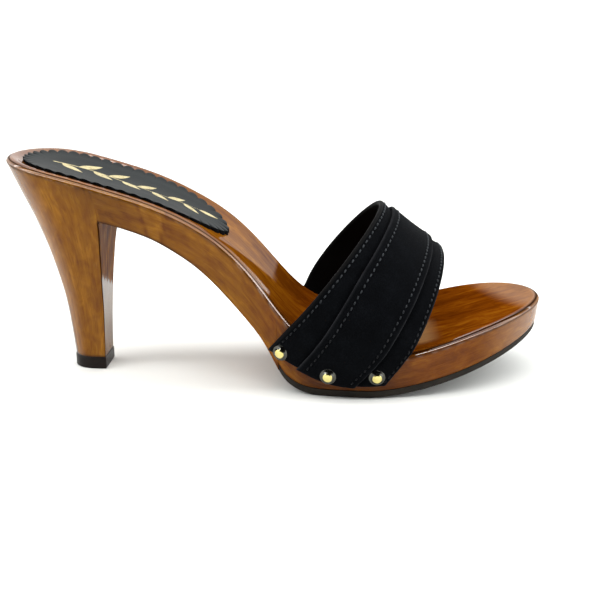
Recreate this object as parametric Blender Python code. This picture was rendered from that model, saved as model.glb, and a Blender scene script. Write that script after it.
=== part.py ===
"""Wooden-soled heeled mule, right shoe: carved sole and heel, nailed strap, heel pad.

+X runs to the toe, +Y to the inner (medial) side and +Z up. Tables and sizes are in millimetres, with x
measured from the rear of the sole and z from the floor; meshes are made in metres.
"""

import math

import bmesh
import bpy
import numpy as np

MM = 0.001
GAP = 0.3
WELD = 1e-6
LATERAL_SIDE, MEDIAL_SIDE = -1.0, 1.0

# Plan of the sole: rounded rear, rounded toe, and a toe that swings to the inner side
SOLE_LENGTH = 222.0
REAR_ROUND = 28.0
TOE_ROUND = 62.0
TOE_POWER = 2.075
TOE_SWING = 9.7
SWING_START = 150.0
EDGE_ROUND = 1.8

# Sections of the sole: half-widths of the plan, height of the top edge, depth of the dished footbed,
# and how far the wall leans in at its foot
X, LATERAL, MEDIAL, EDGE, DISH, LEAN = range(6)
SOLE_SECTIONS = (
    (0.0, 30.0, 29.9, 92.3, 0.0, 9.0),
    (14.0, 30.3, 30.0, 90.4, 2.4, 9.0),
    (28.0, 30.3, 29.9, 87.4, 3.4, 9.0),
    (41.0, 30.2, 29.9, 83.8, 3.5, 9.0),
    (58.0, 28.9, 29.0, 78.4, 3.1, 6.2),
    (75.0, 26.6, 27.0, 70.8, 2.6, 4.2),
    (90.0, 26.3, 26.5, 61.0, 2.2, 3.0),
    (104.0, 27.6, 26.9, 46.8, 2.0, 2.4),
    (118.0, 32.3, 30.2, 30.4, 1.8, 2.0),
    (134.0, 35.5, 34.5, 20.8, 1.6, 2.0),
    (150.0, 36.5, 39.7, 17.8, 1.8, 2.0),
    (166.0, 35.4, 44.5, 19.4, 2.0, 1.8),
    (184.0, 34.7, 46.7, 23.9, 2.0, 1.5),
    (203.0, 34.9, 46.6, 29.0, 1.5, 1.3),
    (222.0, 35.7, 45.5, 33.0, 0.0, 1.0),
)

# Bottom line of the shoe from the heel breast to the ball; the toe then springs up from the floor
BOTTOM_LINE = (
    (41.0, 67.6),
    (50.0, 65.4),
    (57.0, 63.4),
    (64.0, 60.6),
    (71.0, 56.4),
    (78.5, 51.0),
    (86.0, 44.3),
    (93.5, 36.2),
    (101.0, 27.2),
    (106.8, 19.2),
    (110.8, 12.0),
    (114.0, 6.6),
    (118.6, 2.7),
    (125.0, 0.5),
    (132.0, 0.0),
    (150.0, 0.0),
)
FLAT_FROM, FLAT_TO = 132.0, 150.0
TOE_SPRING = 19.8
SPRING_POWER = 1.54

# Heel: share of the way up from the tip, back and breast positions, half-width
LEVEL, BACK, BREAST, HALF = range(4)
HEEL_LEVELS = (
    (0.00, 22.8, 37.0, 7.4),
    (0.19, 21.0, 37.5, 7.8),
    (0.32, 19.3, 37.9, 8.9),
    (0.45, 16.6, 38.3, 10.8),
    (0.55, 14.2, 38.8, 12.6),
    (0.63, 11.9, 39.2, 14.5),
    (0.71, 9.5, 39.9, 17.0),
    (0.80, 6.4, 40.6, 20.6),
    (0.90, 3.1, 41.0, 25.2),
    (1.00, 0.0, 41.0, 30.0),
)
HEEL_END = 41.0
SHANK_LEVEL = 0.815
TIP_THICK = 5.3
TIP_PROUD = 0.25

# Rubber under the forefoot, set in a rebate
RUBBER_THICK = 2.8
RUBBER_TAPER = 0.4
REBATE_X = 112.6
REBATE_STEP = 0.35
RUBBER_INSET = 0.25

# Heel pad
PAD_THICK = 1.0
PAD_MARGIN = {LATERAL_SIDE: 5.5, MEDIAL_SIDE: 8.0}
PAD_REAR = 7.2
PAD_FRONT = 90.2
PAD_FRONT_ROUND = 25.0
PAD_FRONT_POWER = 2.2

# Strap: rear and front ends of its lower edge, of its crossing of the sole's edge, and of its crest
STRAP_LIFT = 0.45
STRAP_THICK = 2.2
BAND_THICK = 0.9
FOOT_X = {LATERAL_SIDE: (109.8, 156.2), MEDIAL_SIDE: (112.5, 159.0)}
CROSS_X = {LATERAL_SIDE: (118.7, 165.3), MEDIAL_SIDE: (121.0, 168.6)}
CREST_X = (152.6, 179.8)
CREST_Y = (3.0, 6.0)
CREST_Z = (71.0, 49.4)
CREST_SAG = 1.3
# How full the arch is, and how its rear and front edges bow on the way up
ARCH_POWER = {LATERAL_SIDE: 2.15, MEDIAL_SIDE: 2.5}
EDGE_BOW = {LATERAL_SIDE: (0.94, 0.87), MEDIAL_SIDE: (1.3, 1.0)}
WALL_SHARE = 0.2
# Height of the strap's lower edge, across the strap from rear to front
FOOT_LINE = ((0.0, 18.3), (0.27, 12.2), (0.46, 8.4), (0.74, 6.2), (1.0, 6.6))
# Rear and front edges of the band across the strap, from the lower edge to the crest
BAND_EDGES = ((0.0, 0.26, 0.745), (0.2, 0.23, 0.76), (0.5, 0.18, 0.785), (1.0, 0.15, 0.785))

# Tacks: position along the sole and height, with the leather under the head
TACKS = (
    ("rear", 115.4, 18.2, STRAP_THICK),
    ("middle", 134.2, 11.0, STRAP_THICK + GAP + BAND_THICK),
    ("front", 152.9, 10.8, STRAP_THICK),
)
TACK_MEDIAL_SHIFT = 2.8
TACK_RADIUS = 3.3
TACK_DOME = 2.3
TACK_RIM = 0.5
SHANK_RADIUS = 0.6
SHANK_LENGTH = 9.0
HOLE_RADIUS = 0.95

# Fineness of the meshes
ACROSS = 10
REAR_STEPS = 9
SEAT_STEPS = 3
SHANK_STEPS = 18
BALL_STEPS = 11
TOE_STEPS = 12
ROUND_STEPS = 3
WALL_STEPS = 4
HEEL_STEPS = 9
PAD_END_STEPS = 8
PAD_SIDE_STEPS = 9
HOOP_WALL_STEPS = 4
HOOP_ARCH_STEPS = 16
STRAP_ACROSS = 8
BAND_ACROSS = 6
TACK_STEPS = 16
DOME_STEPS = 4
SLOPE_SPAN = 0.5
SMOOTH_ANGLE = 40.0
QUARTER_TURN = math.pi / 2


def curve(table, column):
    """A smooth line through one column of a table, read against its first column."""
    rows = np.array(table, float)
    knots = rows[:, 0]
    values = rows[:, column]
    step = np.diff(knots)
    slope = np.diff(values) / step
    size = len(knots)
    matrix = np.eye(size)
    pull = np.zeros(size)
    for i in range(1, size - 1):
        matrix[i, i - 1 : i + 2] = step[i - 1], 2 * (step[i - 1] + step[i]), step[i]
        pull[i] = 6 * (slope[i] - slope[i - 1])
    bend = np.linalg.solve(matrix, pull)

    def at(where):
        i = np.clip(np.searchsorted(knots, where) - 1, 0, size - 2)
        after = where - knots[i]
        before = knots[i + 1] - where
        cubic = (bend[i] * before**3 + bend[i + 1] * after**3) / (6 * step[i])
        start = (values[i] / step[i] - bend[i] * step[i] / 6) * before
        end = (values[i + 1] / step[i] - bend[i + 1] * step[i] / 6) * after
        return cubic + start + end

    return at


half_width = {
    LATERAL_SIDE: curve(SOLE_SECTIONS, LATERAL),
    MEDIAL_SIDE: curve(SOLE_SECTIONS, MEDIAL),
}
edge_height = curve(SOLE_SECTIONS, EDGE)
dish_depth = curve(SOLE_SECTIONS, DISH)
wall_lean = curve(SOLE_SECTIONS, LEAN)
bottom_curve = curve(BOTTOM_LINE, 1)
heel_back = curve(HEEL_LEVELS, BACK)
heel_breast = curve(HEEL_LEVELS, BREAST)
heel_half = curve(HEEL_LEVELS, HALF)
foot_height = curve(FOOT_LINE, 1)


def plan_y(side, x):
    """Edge of the sole's plan on one side."""
    rear = np.clip(1 - x / REAR_ROUND, 0, 1)
    toe = np.clip((x - SOLE_LENGTH + TOE_ROUND) / TOE_ROUND, 0, 1)
    ends = np.sqrt(1 - rear**2) * np.sqrt(1 - toe**TOE_POWER)
    swing = TOE_SWING * np.clip((x - SWING_START) / (SOLE_LENGTH - SWING_START), 0, 1) ** 2
    return swing + side * half_width[side](x) * ends


def bottom_height(x):
    """Lowest line of the shoe: arch, flat tread, toe spring."""
    spring = np.clip((x - FLAT_TO) / (SOLE_LENGTH - FLAT_TO), 0, 1) ** SPRING_POWER * TOE_SPRING
    arch = np.maximum(bottom_curve(np.minimum(x, FLAT_TO)), 0)
    return np.where(x < FLAT_FROM, arch, spring)


def rubber_thickness(x):
    """The rubber thins towards the toe."""
    return RUBBER_THICK - RUBBER_TAPER * np.clip((x - FLAT_TO) / (SOLE_LENGTH - FLAT_TO), 0, 1)


def wood_bottom(x):
    """Underside of the wood, which steps up at the rebate for the rubber."""
    return bottom_height(x) + np.where(x > REBATE_X, rubber_thickness(x) + GAP, 0)


def footbed_height(x, y):
    """Dished upper face of the wood."""
    low = plan_y(LATERAL_SIDE, x)
    high = plan_y(MEDIAL_SIDE, x)
    reach = np.maximum((high - low) / 2, 1)
    share = np.clip((y - (low + high) / 2) / reach, -1, 1)
    return edge_height(x) - dish_depth(x) * (1 - share**2)


def sole_stations():
    """Places along the sole: close together round the rear and the toe, and at the rebate."""
    toe_start = SOLE_LENGTH - TOE_ROUND
    rear = REAR_ROUND * (1 - np.cos(np.linspace(0, QUARTER_TURN, REAR_STEPS + 1)))
    seat = np.linspace(REAR_ROUND, HEEL_END, SEAT_STEPS + 1)[1:]
    shank = np.linspace(HEEL_END, REBATE_X, SHANK_STEPS + 1)[1:]
    rebate = [REBATE_X + REBATE_STEP]
    ball = np.linspace(REBATE_X + 2 * REBATE_STEP, toe_start, BALL_STEPS + 1)
    toe = toe_start + TOE_ROUND * np.sin(np.linspace(0, QUARTER_TURN, TOE_STEPS + 1))[1:]
    return np.concatenate([rear, seat, shank, rebate, ball, toe])


def plan_ring(x):
    """Edge points and outward directions in plan for each side, for stations from end to end."""
    points = {side: np.stack([x, plan_y(side, x)], axis=1) for side in half_width}
    low = points[LATERAL_SIDE]
    high = points[MEDIAL_SIDE]
    loop = np.concatenate([low, high[-2:0:-1]])
    along = np.roll(loop, -1, axis=0) - np.roll(loop, 1, axis=0)
    along /= np.linalg.norm(along, axis=1)[:, None]
    outward = np.stack([along[:, 1], -along[:, 0]], axis=1)
    count = len(x)
    back = np.concatenate([outward[:1], outward[: count - 2 : -1]])
    return points, {LATERAL_SIDE: outward[:count], MEDIAL_SIDE: back}


def with_height(flat, z):
    return np.concatenate([flat, np.asarray(z, float)[..., None]], axis=-1)


def between(start, end, steps):
    """Points from start to end, along a new second axis."""
    share = np.linspace(0, 1, steps + 1)[None, :, None]
    return start[:, None, :] * (1 - share) + end[:, None, :] * share


def heel_point(side_points, share):
    """Heel wall at one share of the way up, under the seat's edge points."""
    seat_half = heel_half(1.0)
    span = heel_breast(share) - heel_back(share)
    x = heel_back(share) + span * side_points[:, 0] / HEEL_END
    y = side_points[:, 1] * heel_half(share) / seat_half
    low = TIP_THICK + GAP
    z = low + share * (edge_height(side_points[:, 0]) - EDGE_ROUND - low)
    return np.stack([x, y, z], axis=1)


def sole_wall(x, points, outward, heel_count):
    """Columns from the footbed's rim over the rounded edge and down to the underside of the shank."""
    columns = []
    for turn in np.linspace(0, QUARTER_TURN, ROUND_STEPS + 1):
        inset = EDGE_ROUND * (1 - math.sin(turn))
        flat = points - outward * inset
        if turn == 0:
            z = footbed_height(flat[:, 0], flat[:, 1])
        else:
            z = edge_height(flat[:, 0]) - EDGE_ROUND * (1 - math.cos(turn))
        columns.append(with_height(flat, z))
    top = columns[-1]
    foot = with_height(points - outward * wall_lean(x)[:, None], wood_bottom(x))
    for step in range(1, WALL_STEPS + 1):
        share = step / WALL_STEPS
        column = top * (1 - share) + foot * share
        heel_share = 1 - share * (1 - SHANK_LEVEL)
        column[:heel_count] = heel_point(points[:heel_count], heel_share)
        columns.append(column)
    return np.stack(columns, axis=1)


def make_sole():
    """Sole and heel, carved as one."""
    x = sole_stations()
    points, outward = plan_ring(x)
    heel_count = int(np.searchsorted(x, HEEL_END, side="right"))
    walls = {side: sole_wall(x, points[side], outward[side], heel_count) for side in points}
    low = walls[LATERAL_SIDE]
    high = walls[MEDIAL_SIDE]
    footbed = between(low[:, 0], high[:, 0], ACROSS)
    footbed[:, 1:-1, 2] = footbed_height(footbed[:, 1:-1, 0], footbed[:, 1:-1, 1])
    last = heel_count - 1
    underside = between(low[last:, -1], high[last:, -1], ACROSS)
    shares = np.linspace(SHANK_LEVEL, 0, HEEL_STEPS + 1)
    heel = {}
    for side in points:
        rows = [heel_point(points[side][:heel_count], share) for share in shares]
        heel[side] = np.stack(rows, axis=1)
    breast = between(heel[LATERAL_SIDE][last], heel[MEDIAL_SIDE][last], ACROSS)
    tread = between(heel[LATERAL_SIDE][:, -1], heel[MEDIAL_SIDE][:, -1], ACROSS)
    patches = [footbed, low, high, underside, heel[LATERAL_SIDE], heel[MEDIAL_SIDE], breast, tread]
    return solid("wooden_sole", patches, WOOD)


def plate(name, low_top, high_top, low_bottom, high_bottom, look):
    """A thin solid between two faces, each spanned from its outer to its inner edge."""
    top = between(low_top, high_top, ACROSS)
    bottom = between(low_bottom, high_bottom, ACROSS)
    rims = []
    for upper, lower in (
        (top[:, 0], bottom[:, 0]),
        (top[:, -1], bottom[:, -1]),
        (top[0], bottom[0]),
        (top[-1], bottom[-1]),
    ):
        rims.append(np.stack([upper, lower], axis=1))
    return solid(name, [top, bottom, *rims], look)


def make_outsole():
    """Rubber sheet that follows the underside of the forefoot."""
    x = sole_stations()
    points, outward = plan_ring(x)
    first = int(np.searchsorted(x, REBATE_X + 1.5 * REBATE_STEP))
    inset = wall_lean(x)[:, None] + RUBBER_INSET
    rims = {side: (points[side] - outward[side] * inset)[first:] for side in points}
    bottom = bottom_height(x)[first:]
    faces = []
    for height in (bottom + rubber_thickness(x)[first:], bottom):
        for side in (LATERAL_SIDE, MEDIAL_SIDE):
            faces.append(with_height(rims[side], height))
    return plate("forefoot_outsole", *faces, RUBBER)


def make_heel_tip():
    """Rubber top piece with the heel's own D-shaped plan."""
    x = sole_stations()
    points, _ = plan_ring(x)
    heel_count = int(np.searchsorted(x, HEEL_END, side="right"))
    faces = []
    for height in (TIP_THICK, 0.0):
        for side in (LATERAL_SIDE, MEDIAL_SIDE):
            rim = heel_point(points[side][:heel_count], 0.0)
            middle = (heel_back(0.0) + heel_breast(0.0)) / 2
            rim[:, 0] += TIP_PROUD * np.sign(rim[:, 0] - middle)
            rim[:, 1] *= 1 + TIP_PROUD / heel_half(0.0)
            rim[:, 2] = height
            faces.append(rim)
    return plate("heel_tip", *faces, RUBBER)


def pad_rim(side):
    """Edge of the heel pad: the seat's outline drawn in, then a rounded front."""
    front_start = PAD_FRONT - PAD_FRONT_ROUND
    turn = np.linspace(0, QUARTER_TURN, PAD_END_STEPS + 1)
    rear = PAD_REAR + (REAR_ROUND - PAD_REAR) * (1 - np.cos(turn))
    middle = np.linspace(REAR_ROUND, front_start, PAD_SIDE_STEPS + 1)[1:]
    front = front_start + PAD_FRONT_ROUND * np.sin(turn)[1:]
    x = np.concatenate([rear, middle, front])
    rear_share = np.clip((REAR_ROUND - x) / (REAR_ROUND - PAD_REAR), 0, 1)
    front_share = np.clip((x - front_start) / PAD_FRONT_ROUND, 0, 1)
    ends = np.sqrt(1 - rear_share**2) * np.sqrt(1 - front_share**PAD_FRONT_POWER)
    y = side * (half_width[side](x) - PAD_MARGIN[side]) * ends
    return np.stack([x, y], axis=1)


def make_pad():
    """Thin leather pad laid in the dished seat and down the shank."""
    rims = {side: pad_rim(side) for side in half_width}
    flat = between(rims[LATERAL_SIDE], rims[MEDIAL_SIDE], ACROSS)
    bed = footbed_height(flat[..., 0], flat[..., 1])
    top = with_height(flat, bed + GAP + PAD_THICK)
    bottom = with_height(flat, bed + GAP)
    rims = [np.stack([top[:, end], bottom[:, end]], axis=1) for end in (0, -1)]
    return solid("insole_pad", [top, bottom, *rims], PAD_LEATHER)


def wall_point(side, x, z, lift):
    """A point lifted off the sole's side wall, with the wall's outward direction."""
    ahead = plan_y(side, x + SLOPE_SPAN)
    behind = plan_y(side, x - SLOPE_SPAN)
    slope = (ahead - behind) / (2 * SLOPE_SPAN)
    top = edge_height(x) - EDGE_ROUND
    tall = top - wood_bottom(x)
    fall = wall_lean(x) * np.clip((top - z) / tall, 0, 1)
    lean = wall_lean(x) / tall
    stretch = np.sqrt(1 + slope**2)
    y = plan_y(side, x) + side * (lift - fall) * stretch
    outward = np.stack([-side * slope, side * np.ones_like(x), -lean * stretch], axis=-1)
    outward /= np.linalg.norm(outward, axis=-1)[..., None]
    return np.stack([x, y, z], axis=-1), outward


def mix(pair, share):
    return pair[0] * (1 - share) + pair[1] * share


def strap_side(side, across, hoop):
    """Inner face of the strap on one side: across runs rear to front, hoop from lower edge to crest."""
    cross_x = mix(CROSS_X[side], across)
    cross_z = edge_height(cross_x)
    rise = np.clip(hoop / WALL_SHARE, 0, 1)
    wall_x = mix((mix(FOOT_X[side], across), cross_x), rise)
    wall_z = mix((foot_height(across), cross_z), rise)
    wall, _ = wall_point(side, wall_x, wall_z, STRAP_LIFT)
    turn = np.clip((hoop - WALL_SHARE) / (1 - WALL_SHARE), 0, 1) * QUARTER_TURN
    climb = np.sin(turn) ** (2 / ARCH_POWER[side])
    spread = np.cos(turn).clip(0, 1) ** (2 / ARCH_POWER[side])
    crest_y = mix(CREST_Y, across)
    arch_x = mix((cross_x, mix(CREST_X, across)), climb ** mix(EDGE_BOW[side], across))
    arch_y = crest_y + (wall[..., 1] - crest_y) * spread
    crest_z = mix(CREST_Z, across) - CREST_SAG * 4 * across * (1 - across)
    arch_z = mix((cross_z, crest_z), climb)
    arch = np.stack([arch_x, arch_y, arch_z], axis=-1)
    return np.where((hoop > WALL_SHARE)[..., None], arch, wall)


def hoop_steps():
    wall = np.linspace(0, WALL_SHARE, HOOP_WALL_STEPS + 1)
    arch = np.linspace(WALL_SHARE, 1, HOOP_ARCH_STEPS + 1)[1:]
    return np.concatenate([wall, arch])


def strap_faces(edges, across_steps):
    """Inner points and outward directions of a band between two edges of the strap, over the whole hoop."""
    hoop = hoop_steps()
    sides = []
    for side in (LATERAL_SIDE, MEDIAL_SIDE):
        rear = edges(hoop)[0][:, None]
        front = edges(hoop)[1][:, None]
        across = mix((rear, front), np.linspace(0, 1, across_steps + 1)[None, :])
        sides.append(strap_side(side, across, np.broadcast_to(hoop[:, None], across.shape)))
    inner = np.concatenate([sides[0], sides[1][-2::-1]])
    outward = np.cross(np.gradient(inner, axis=1), np.gradient(inner, axis=0))
    outward /= np.linalg.norm(outward, axis=2)[..., None]
    return inner, outward


def shell(name, inner, outward, lift, thick, look):
    """A closed band of even thickness, lifted off a face."""
    under = inner + outward * lift
    over = inner + outward * (lift + thick)
    rims = []
    for a, b in (
        (under[:, 0], over[:, 0]),
        (under[:, -1], over[:, -1]),
        (under[0], over[0]),
        (under[-1], over[-1]),
    ):
        rims.append(np.stack([a, b], axis=1))
    return solid(name, [under, over, *rims], look)


def strap_edges(hoop):
    return np.zeros_like(hoop), np.ones_like(hoop)


def band_edges(hoop):
    table = np.array(BAND_EDGES)
    return np.interp(hoop, table[:, 0], table[:, 1]), np.interp(hoop, table[:, 0], table[:, 2])


def make_strap():
    inner, outward = strap_faces(strap_edges, STRAP_ACROSS)
    return shell("upper_strap", inner, outward, 0, STRAP_THICK, NUBUCK)


def make_band():
    inner, outward = strap_faces(band_edges, BAND_ACROSS)
    return shell("upper_band", inner, outward, STRAP_THICK + GAP, BAND_THICK, NUBUCK)


def turned(profile, place, axis):
    """Points of a profile (radius, height) turned about an axis at a place."""
    axis = axis / np.linalg.norm(axis)
    across = np.cross(axis, (1.0, 0.0, 0.0))
    across /= np.linalg.norm(across)
    third = np.cross(axis, across)
    angles = np.linspace(0, 2 * math.pi, TACK_STEPS + 1)
    ring = np.cos(angles)[:, None] * across + np.sin(angles)[:, None] * third
    ring[-1] = ring[0]
    rows = [place + axis * height + ring * radius for radius, height in profile]
    return np.stack(rows, axis=0)


def tack_profile():
    """A domed head on a pointed shank."""
    rise = TACK_DOME - TACK_RIM
    dome = [(0.0, TACK_DOME)]
    for turn in np.linspace(QUARTER_TURN, 0, DOME_STEPS + 1)[1:]:
        dome.append((TACK_RADIUS * math.cos(turn), TACK_RIM + rise * math.sin(turn)))
    point = 2 * SHANK_RADIUS
    shank = [
        (TACK_RADIUS, 0.0),
        (SHANK_RADIUS, 0.0),
        (SHANK_RADIUS, point - SHANK_LENGTH),
        (0.0, -SHANK_LENGTH),
    ]
    return dome + shank


def make_tacks():
    """Three tacks on each side, and the holes that their shanks need."""
    tacks = []
    holes = []
    deep = -SHANK_LENGTH - GAP
    hole_profile = [(0.0, GAP), (HOLE_RADIUS, GAP), (HOLE_RADIUS, deep), (0.0, deep)]
    sides = ((LATERAL_SIDE, "lateral", 0.0), (MEDIAL_SIDE, "medial", TACK_MEDIAL_SHIFT))
    for side, side_name, shift in sides:
        for name, x, z, leather in TACKS:
            lift = STRAP_LIFT + leather + GAP
            wall, outward = wall_point(side, np.float64(x + shift), np.float64(z), 0.0)
            place = wall + outward * lift
            body = turned(tack_profile(), place, outward)
            tacks.append(solid(f"tack_{side_name}_{name}", [body], BRASS))
            holes.append(turned(hole_profile, place, outward))
    cutter = solid("tack_holes", holes, BRASS)
    cutter.hide_render = True
    cutter.display_type = "WIRE"
    return tacks, cutter


def drill(piece, cutter):
    cut = piece.modifiers.new("tack holes", "BOOLEAN")
    cut.operation = "DIFFERENCE"
    cut.solver = "EXACT"
    cut.object = cutter


def solid(name, patches, look):
    """A closed mesh from grids of points whose borders meet."""
    vertices = []
    faces = []
    for patch in patches:
        rows, columns = patch.shape[:2]
        first = len(vertices)
        vertices.extend(map(tuple, patch.reshape(-1, 3) * MM))
        for row in range(rows - 1):
            for column in range(columns - 1):
                corner = first + row * columns + column
                faces.append((corner, corner + 1, corner + columns + 1, corner + columns))
    mesh = bpy.data.meshes.new(name)
    mesh.from_pydata(vertices, [], faces)
    shape = bmesh.new()
    shape.from_mesh(mesh)
    bmesh.ops.remove_doubles(shape, verts=shape.verts, dist=WELD)
    bmesh.ops.recalc_face_normals(shape, faces=shape.faces)
    shape.to_mesh(mesh)
    shape.free()
    mesh.shade_smooth()
    mesh.set_sharp_from_angle(angle=math.radians(SMOOTH_ANGLE))
    mesh.materials.append(look)
    piece = bpy.data.objects.new(name, mesh)
    bpy.context.collection.objects.link(piece)
    return piece


def material(name, colour, roughness, metallic):
    made = bpy.data.materials.new(name)
    made.use_nodes = True
    shader = made.node_tree.nodes["Principled BSDF"]
    shader.inputs["Base Color"].default_value = (*colour, 1.0)
    shader.inputs["Roughness"].default_value = roughness
    shader.inputs["Metallic"].default_value = metallic
    return made


def stand_on_origin(pieces):
    """Carries every piece on one empty that brings the middle of the shoe's footprint to the origin."""
    corners = np.concatenate([[v.co[:] for v in piece.data.vertices] for piece in pieces])
    middle = (corners.min(axis=0) + corners.max(axis=0)) / 2
    shoe = bpy.data.objects.new("shoe", None)
    bpy.context.collection.objects.link(shoe)
    shoe.location = (-middle[0], -middle[1], 0.0)
    for piece in bpy.data.objects:
        if piece.type == "MESH":
            piece.parent = shoe


for leftover in list(bpy.data.objects):
    bpy.data.objects.remove(leftover)

WOOD = material("lacquered_wood", (0.28, 0.11, 0.03), 0.25, 0.0)
RUBBER = material("rubber", (0.03, 0.022, 0.018), 0.6, 0.0)
NUBUCK = material("nubuck", (0.012, 0.013, 0.016), 0.85, 0.0)
PAD_LEATHER = material("pad_leather", (0.015, 0.016, 0.02), 0.5, 0.0)
BRASS = material("brass", (0.78, 0.57, 0.2), 0.18, 1.0)

sole = make_sole()
strap = make_strap()
band = make_band()
tacks, tack_holes = make_tacks()
pieces = [sole, strap, band, make_outsole(), make_heel_tip(), make_pad(), *tacks]
for pierced in (sole, strap, band):
    drill(pierced, tack_holes)
stand_on_origin(pieces)
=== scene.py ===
"""Looks of a wooden-soled heeled mule, right shoe: wood, nubuck strap, heel pad, rubber and brass tacks.

Shapes are worked out in millimetres, with x from the rear of the sole to the toe, y from the middle of the
heel to the inner side and z from the floor. They are then moved into the frame, in metres.
"""

import math
from types import SimpleNamespace

import bmesh
import bpy
import numpy as np
from mathutils import Matrix, Vector
from mathutils.kdtree import KDTree


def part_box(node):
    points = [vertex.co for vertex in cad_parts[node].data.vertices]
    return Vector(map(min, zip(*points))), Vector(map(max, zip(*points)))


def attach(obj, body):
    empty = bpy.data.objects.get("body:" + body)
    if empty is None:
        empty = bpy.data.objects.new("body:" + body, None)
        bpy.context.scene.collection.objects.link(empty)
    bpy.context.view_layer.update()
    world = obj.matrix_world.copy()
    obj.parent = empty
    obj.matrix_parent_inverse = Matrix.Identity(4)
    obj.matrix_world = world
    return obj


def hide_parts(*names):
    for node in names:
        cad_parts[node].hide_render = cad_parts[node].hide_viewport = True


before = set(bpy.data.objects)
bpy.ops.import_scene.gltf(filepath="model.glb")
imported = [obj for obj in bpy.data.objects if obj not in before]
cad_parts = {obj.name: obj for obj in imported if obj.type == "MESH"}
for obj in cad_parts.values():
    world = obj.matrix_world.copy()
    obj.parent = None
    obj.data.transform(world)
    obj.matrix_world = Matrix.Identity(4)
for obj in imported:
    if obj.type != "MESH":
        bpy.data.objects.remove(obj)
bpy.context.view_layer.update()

MM = 0.001
WELD = 2e-6
BODY = "root"
LATERAL_SIDE, MEDIAL_SIDE = -1.0, 1.0
QUARTER_TURN = math.pi / 2
SMOOTH_ANGLE = 42.0

# Plan of the sole: rounded rear, rounded toe, and a toe that swings to the inner side
SOLE_LENGTH = 222.0
REAR_ROUND = 28.0
TOE_ROUND = 62.0
TOE_POWER = 2.075
TOE_SWING = 9.7
SWING_START = 150.0

# Rim of the footbed: its rounded outer part, and the ease from its crest into the dish
EDGE_ROUND = 1.8
RIM_WIDE = 2.6
RIM_EASE = 3.4
RIM_POWER = 1.6

# Sections of the sole: x, half-widths of the plan, height of the top edge, depth of the dished footbed,
# and how far the wall leans in at its foot
LATERAL, MEDIAL, EDGE, DISH, LEAN = range(1, 6)
SOLE_SECTIONS = (
    (0.0, 30.0, 29.9, 92.3, 0.0, 9.0),
    (14.0, 30.3, 30.0, 90.4, 2.4, 9.0),
    (28.0, 30.3, 29.9, 87.4, 3.4, 9.0),
    (41.0, 30.2, 29.9, 83.8, 3.5, 9.0),
    (58.0, 28.9, 29.0, 78.4, 3.1, 6.2),
    (75.0, 26.6, 27.0, 70.8, 2.6, 4.2),
    (90.0, 26.3, 26.5, 61.0, 2.2, 3.0),
    (104.0, 27.6, 26.9, 46.8, 2.0, 2.4),
    (118.0, 32.3, 30.2, 30.4, 1.8, 2.0),
    (134.0, 35.5, 34.5, 20.8, 1.6, 2.0),
    (150.0, 36.5, 39.7, 17.8, 1.8, 2.0),
    (166.0, 35.4, 44.5, 19.4, 2.0, 1.8),
    (184.0, 34.7, 46.7, 23.9, 2.0, 1.5),
    (203.0, 34.9, 46.6, 29.0, 1.5, 1.3),
    (222.0, 35.7, 45.5, 33.0, 0.0, 1.0),
)

# Bottom line of the shoe from the heel breast to the ball; the toe then springs up from the floor
BOTTOM_LINE = (
    (41.0, 67.6),
    (50.0, 65.4),
    (57.0, 63.4),
    (64.0, 60.6),
    (71.0, 56.4),
    (78.5, 51.0),
    (86.0, 44.3),
    (93.5, 36.2),
    (101.0, 27.2),
    (106.8, 19.2),
    (110.8, 12.0),
    (114.0, 6.6),
    (118.6, 2.7),
    (125.0, 0.5),
    (132.0, 0.0),
    (150.0, 0.0),
)
FLAT_FROM, FLAT_TO = 132.0, 150.0
TOE_SPRING = 19.8
SPRING_POWER = 1.54
FOOT_FILLET = 0.8
FILLET_FADE = 6.0

# Heel: share of the way up from the tip, back and breast positions, half-width
BACK, BREAST, HALF = range(1, 4)
HEEL_LEVELS = (
    (0.00, 22.8, 37.0, 7.4),
    (0.19, 21.0, 37.5, 7.8),
    (0.32, 19.3, 37.9, 8.9),
    (0.45, 16.6, 38.3, 10.8),
    (0.55, 14.2, 38.8, 12.6),
    (0.63, 11.9, 39.2, 14.5),
    (0.71, 9.5, 39.9, 17.0),
    (0.80, 6.4, 40.6, 20.6),
    (0.90, 3.1, 41.0, 25.2),
    (1.00, 0.0, 41.0, 30.0),
)
HEEL_END = 41.0
SHANK_LEVEL = 0.815
BREAST_CORNER = 1.3
CORNER_FADE = 0.04
TIP_THICK = 5.3
TIP_PROUD = 0.3
TIP_FILLET = 0.5
TIP_EASE = 4.0

# Rubber under the forefoot, set in a rebate
RUBBER_THICK = 2.9
RUBBER_TAPER = 0.4
REBATE_X = 112.6
REBATE_STEP = 0.05
RUBBER_INSET = 0.25
RUBBER_FILLET = 0.7

# Fineness of the sole: points along its stretches, round and down its edges, and across its faces
REAR_POINTS, SEAT_POINTS, CORNER_POINTS = 37, 11, 7
SHANK_POINTS, BALL_POINTS, TOE_POINTS = 61, 41, 51
RIM_POINTS, WALL_POINTS, HEEL_POINTS = 13, 13, 61
FOOT_POINTS, RUBBER_POINTS, TIP_POINTS = 5, 6, 4
RUBBER_ACROSS, TIP_ACROSS = 24, 16
UNDER_SHARES = np.concatenate([[0.0], np.linspace(0.025, 0.975, 23), [1.0]])
BED_POINTS, BED_CROWDING = 23, 1.15
BED_MIDDLE = (16.0, SOLE_LENGTH - 34.0)
OUTLINE_POINTS = 2000

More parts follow.
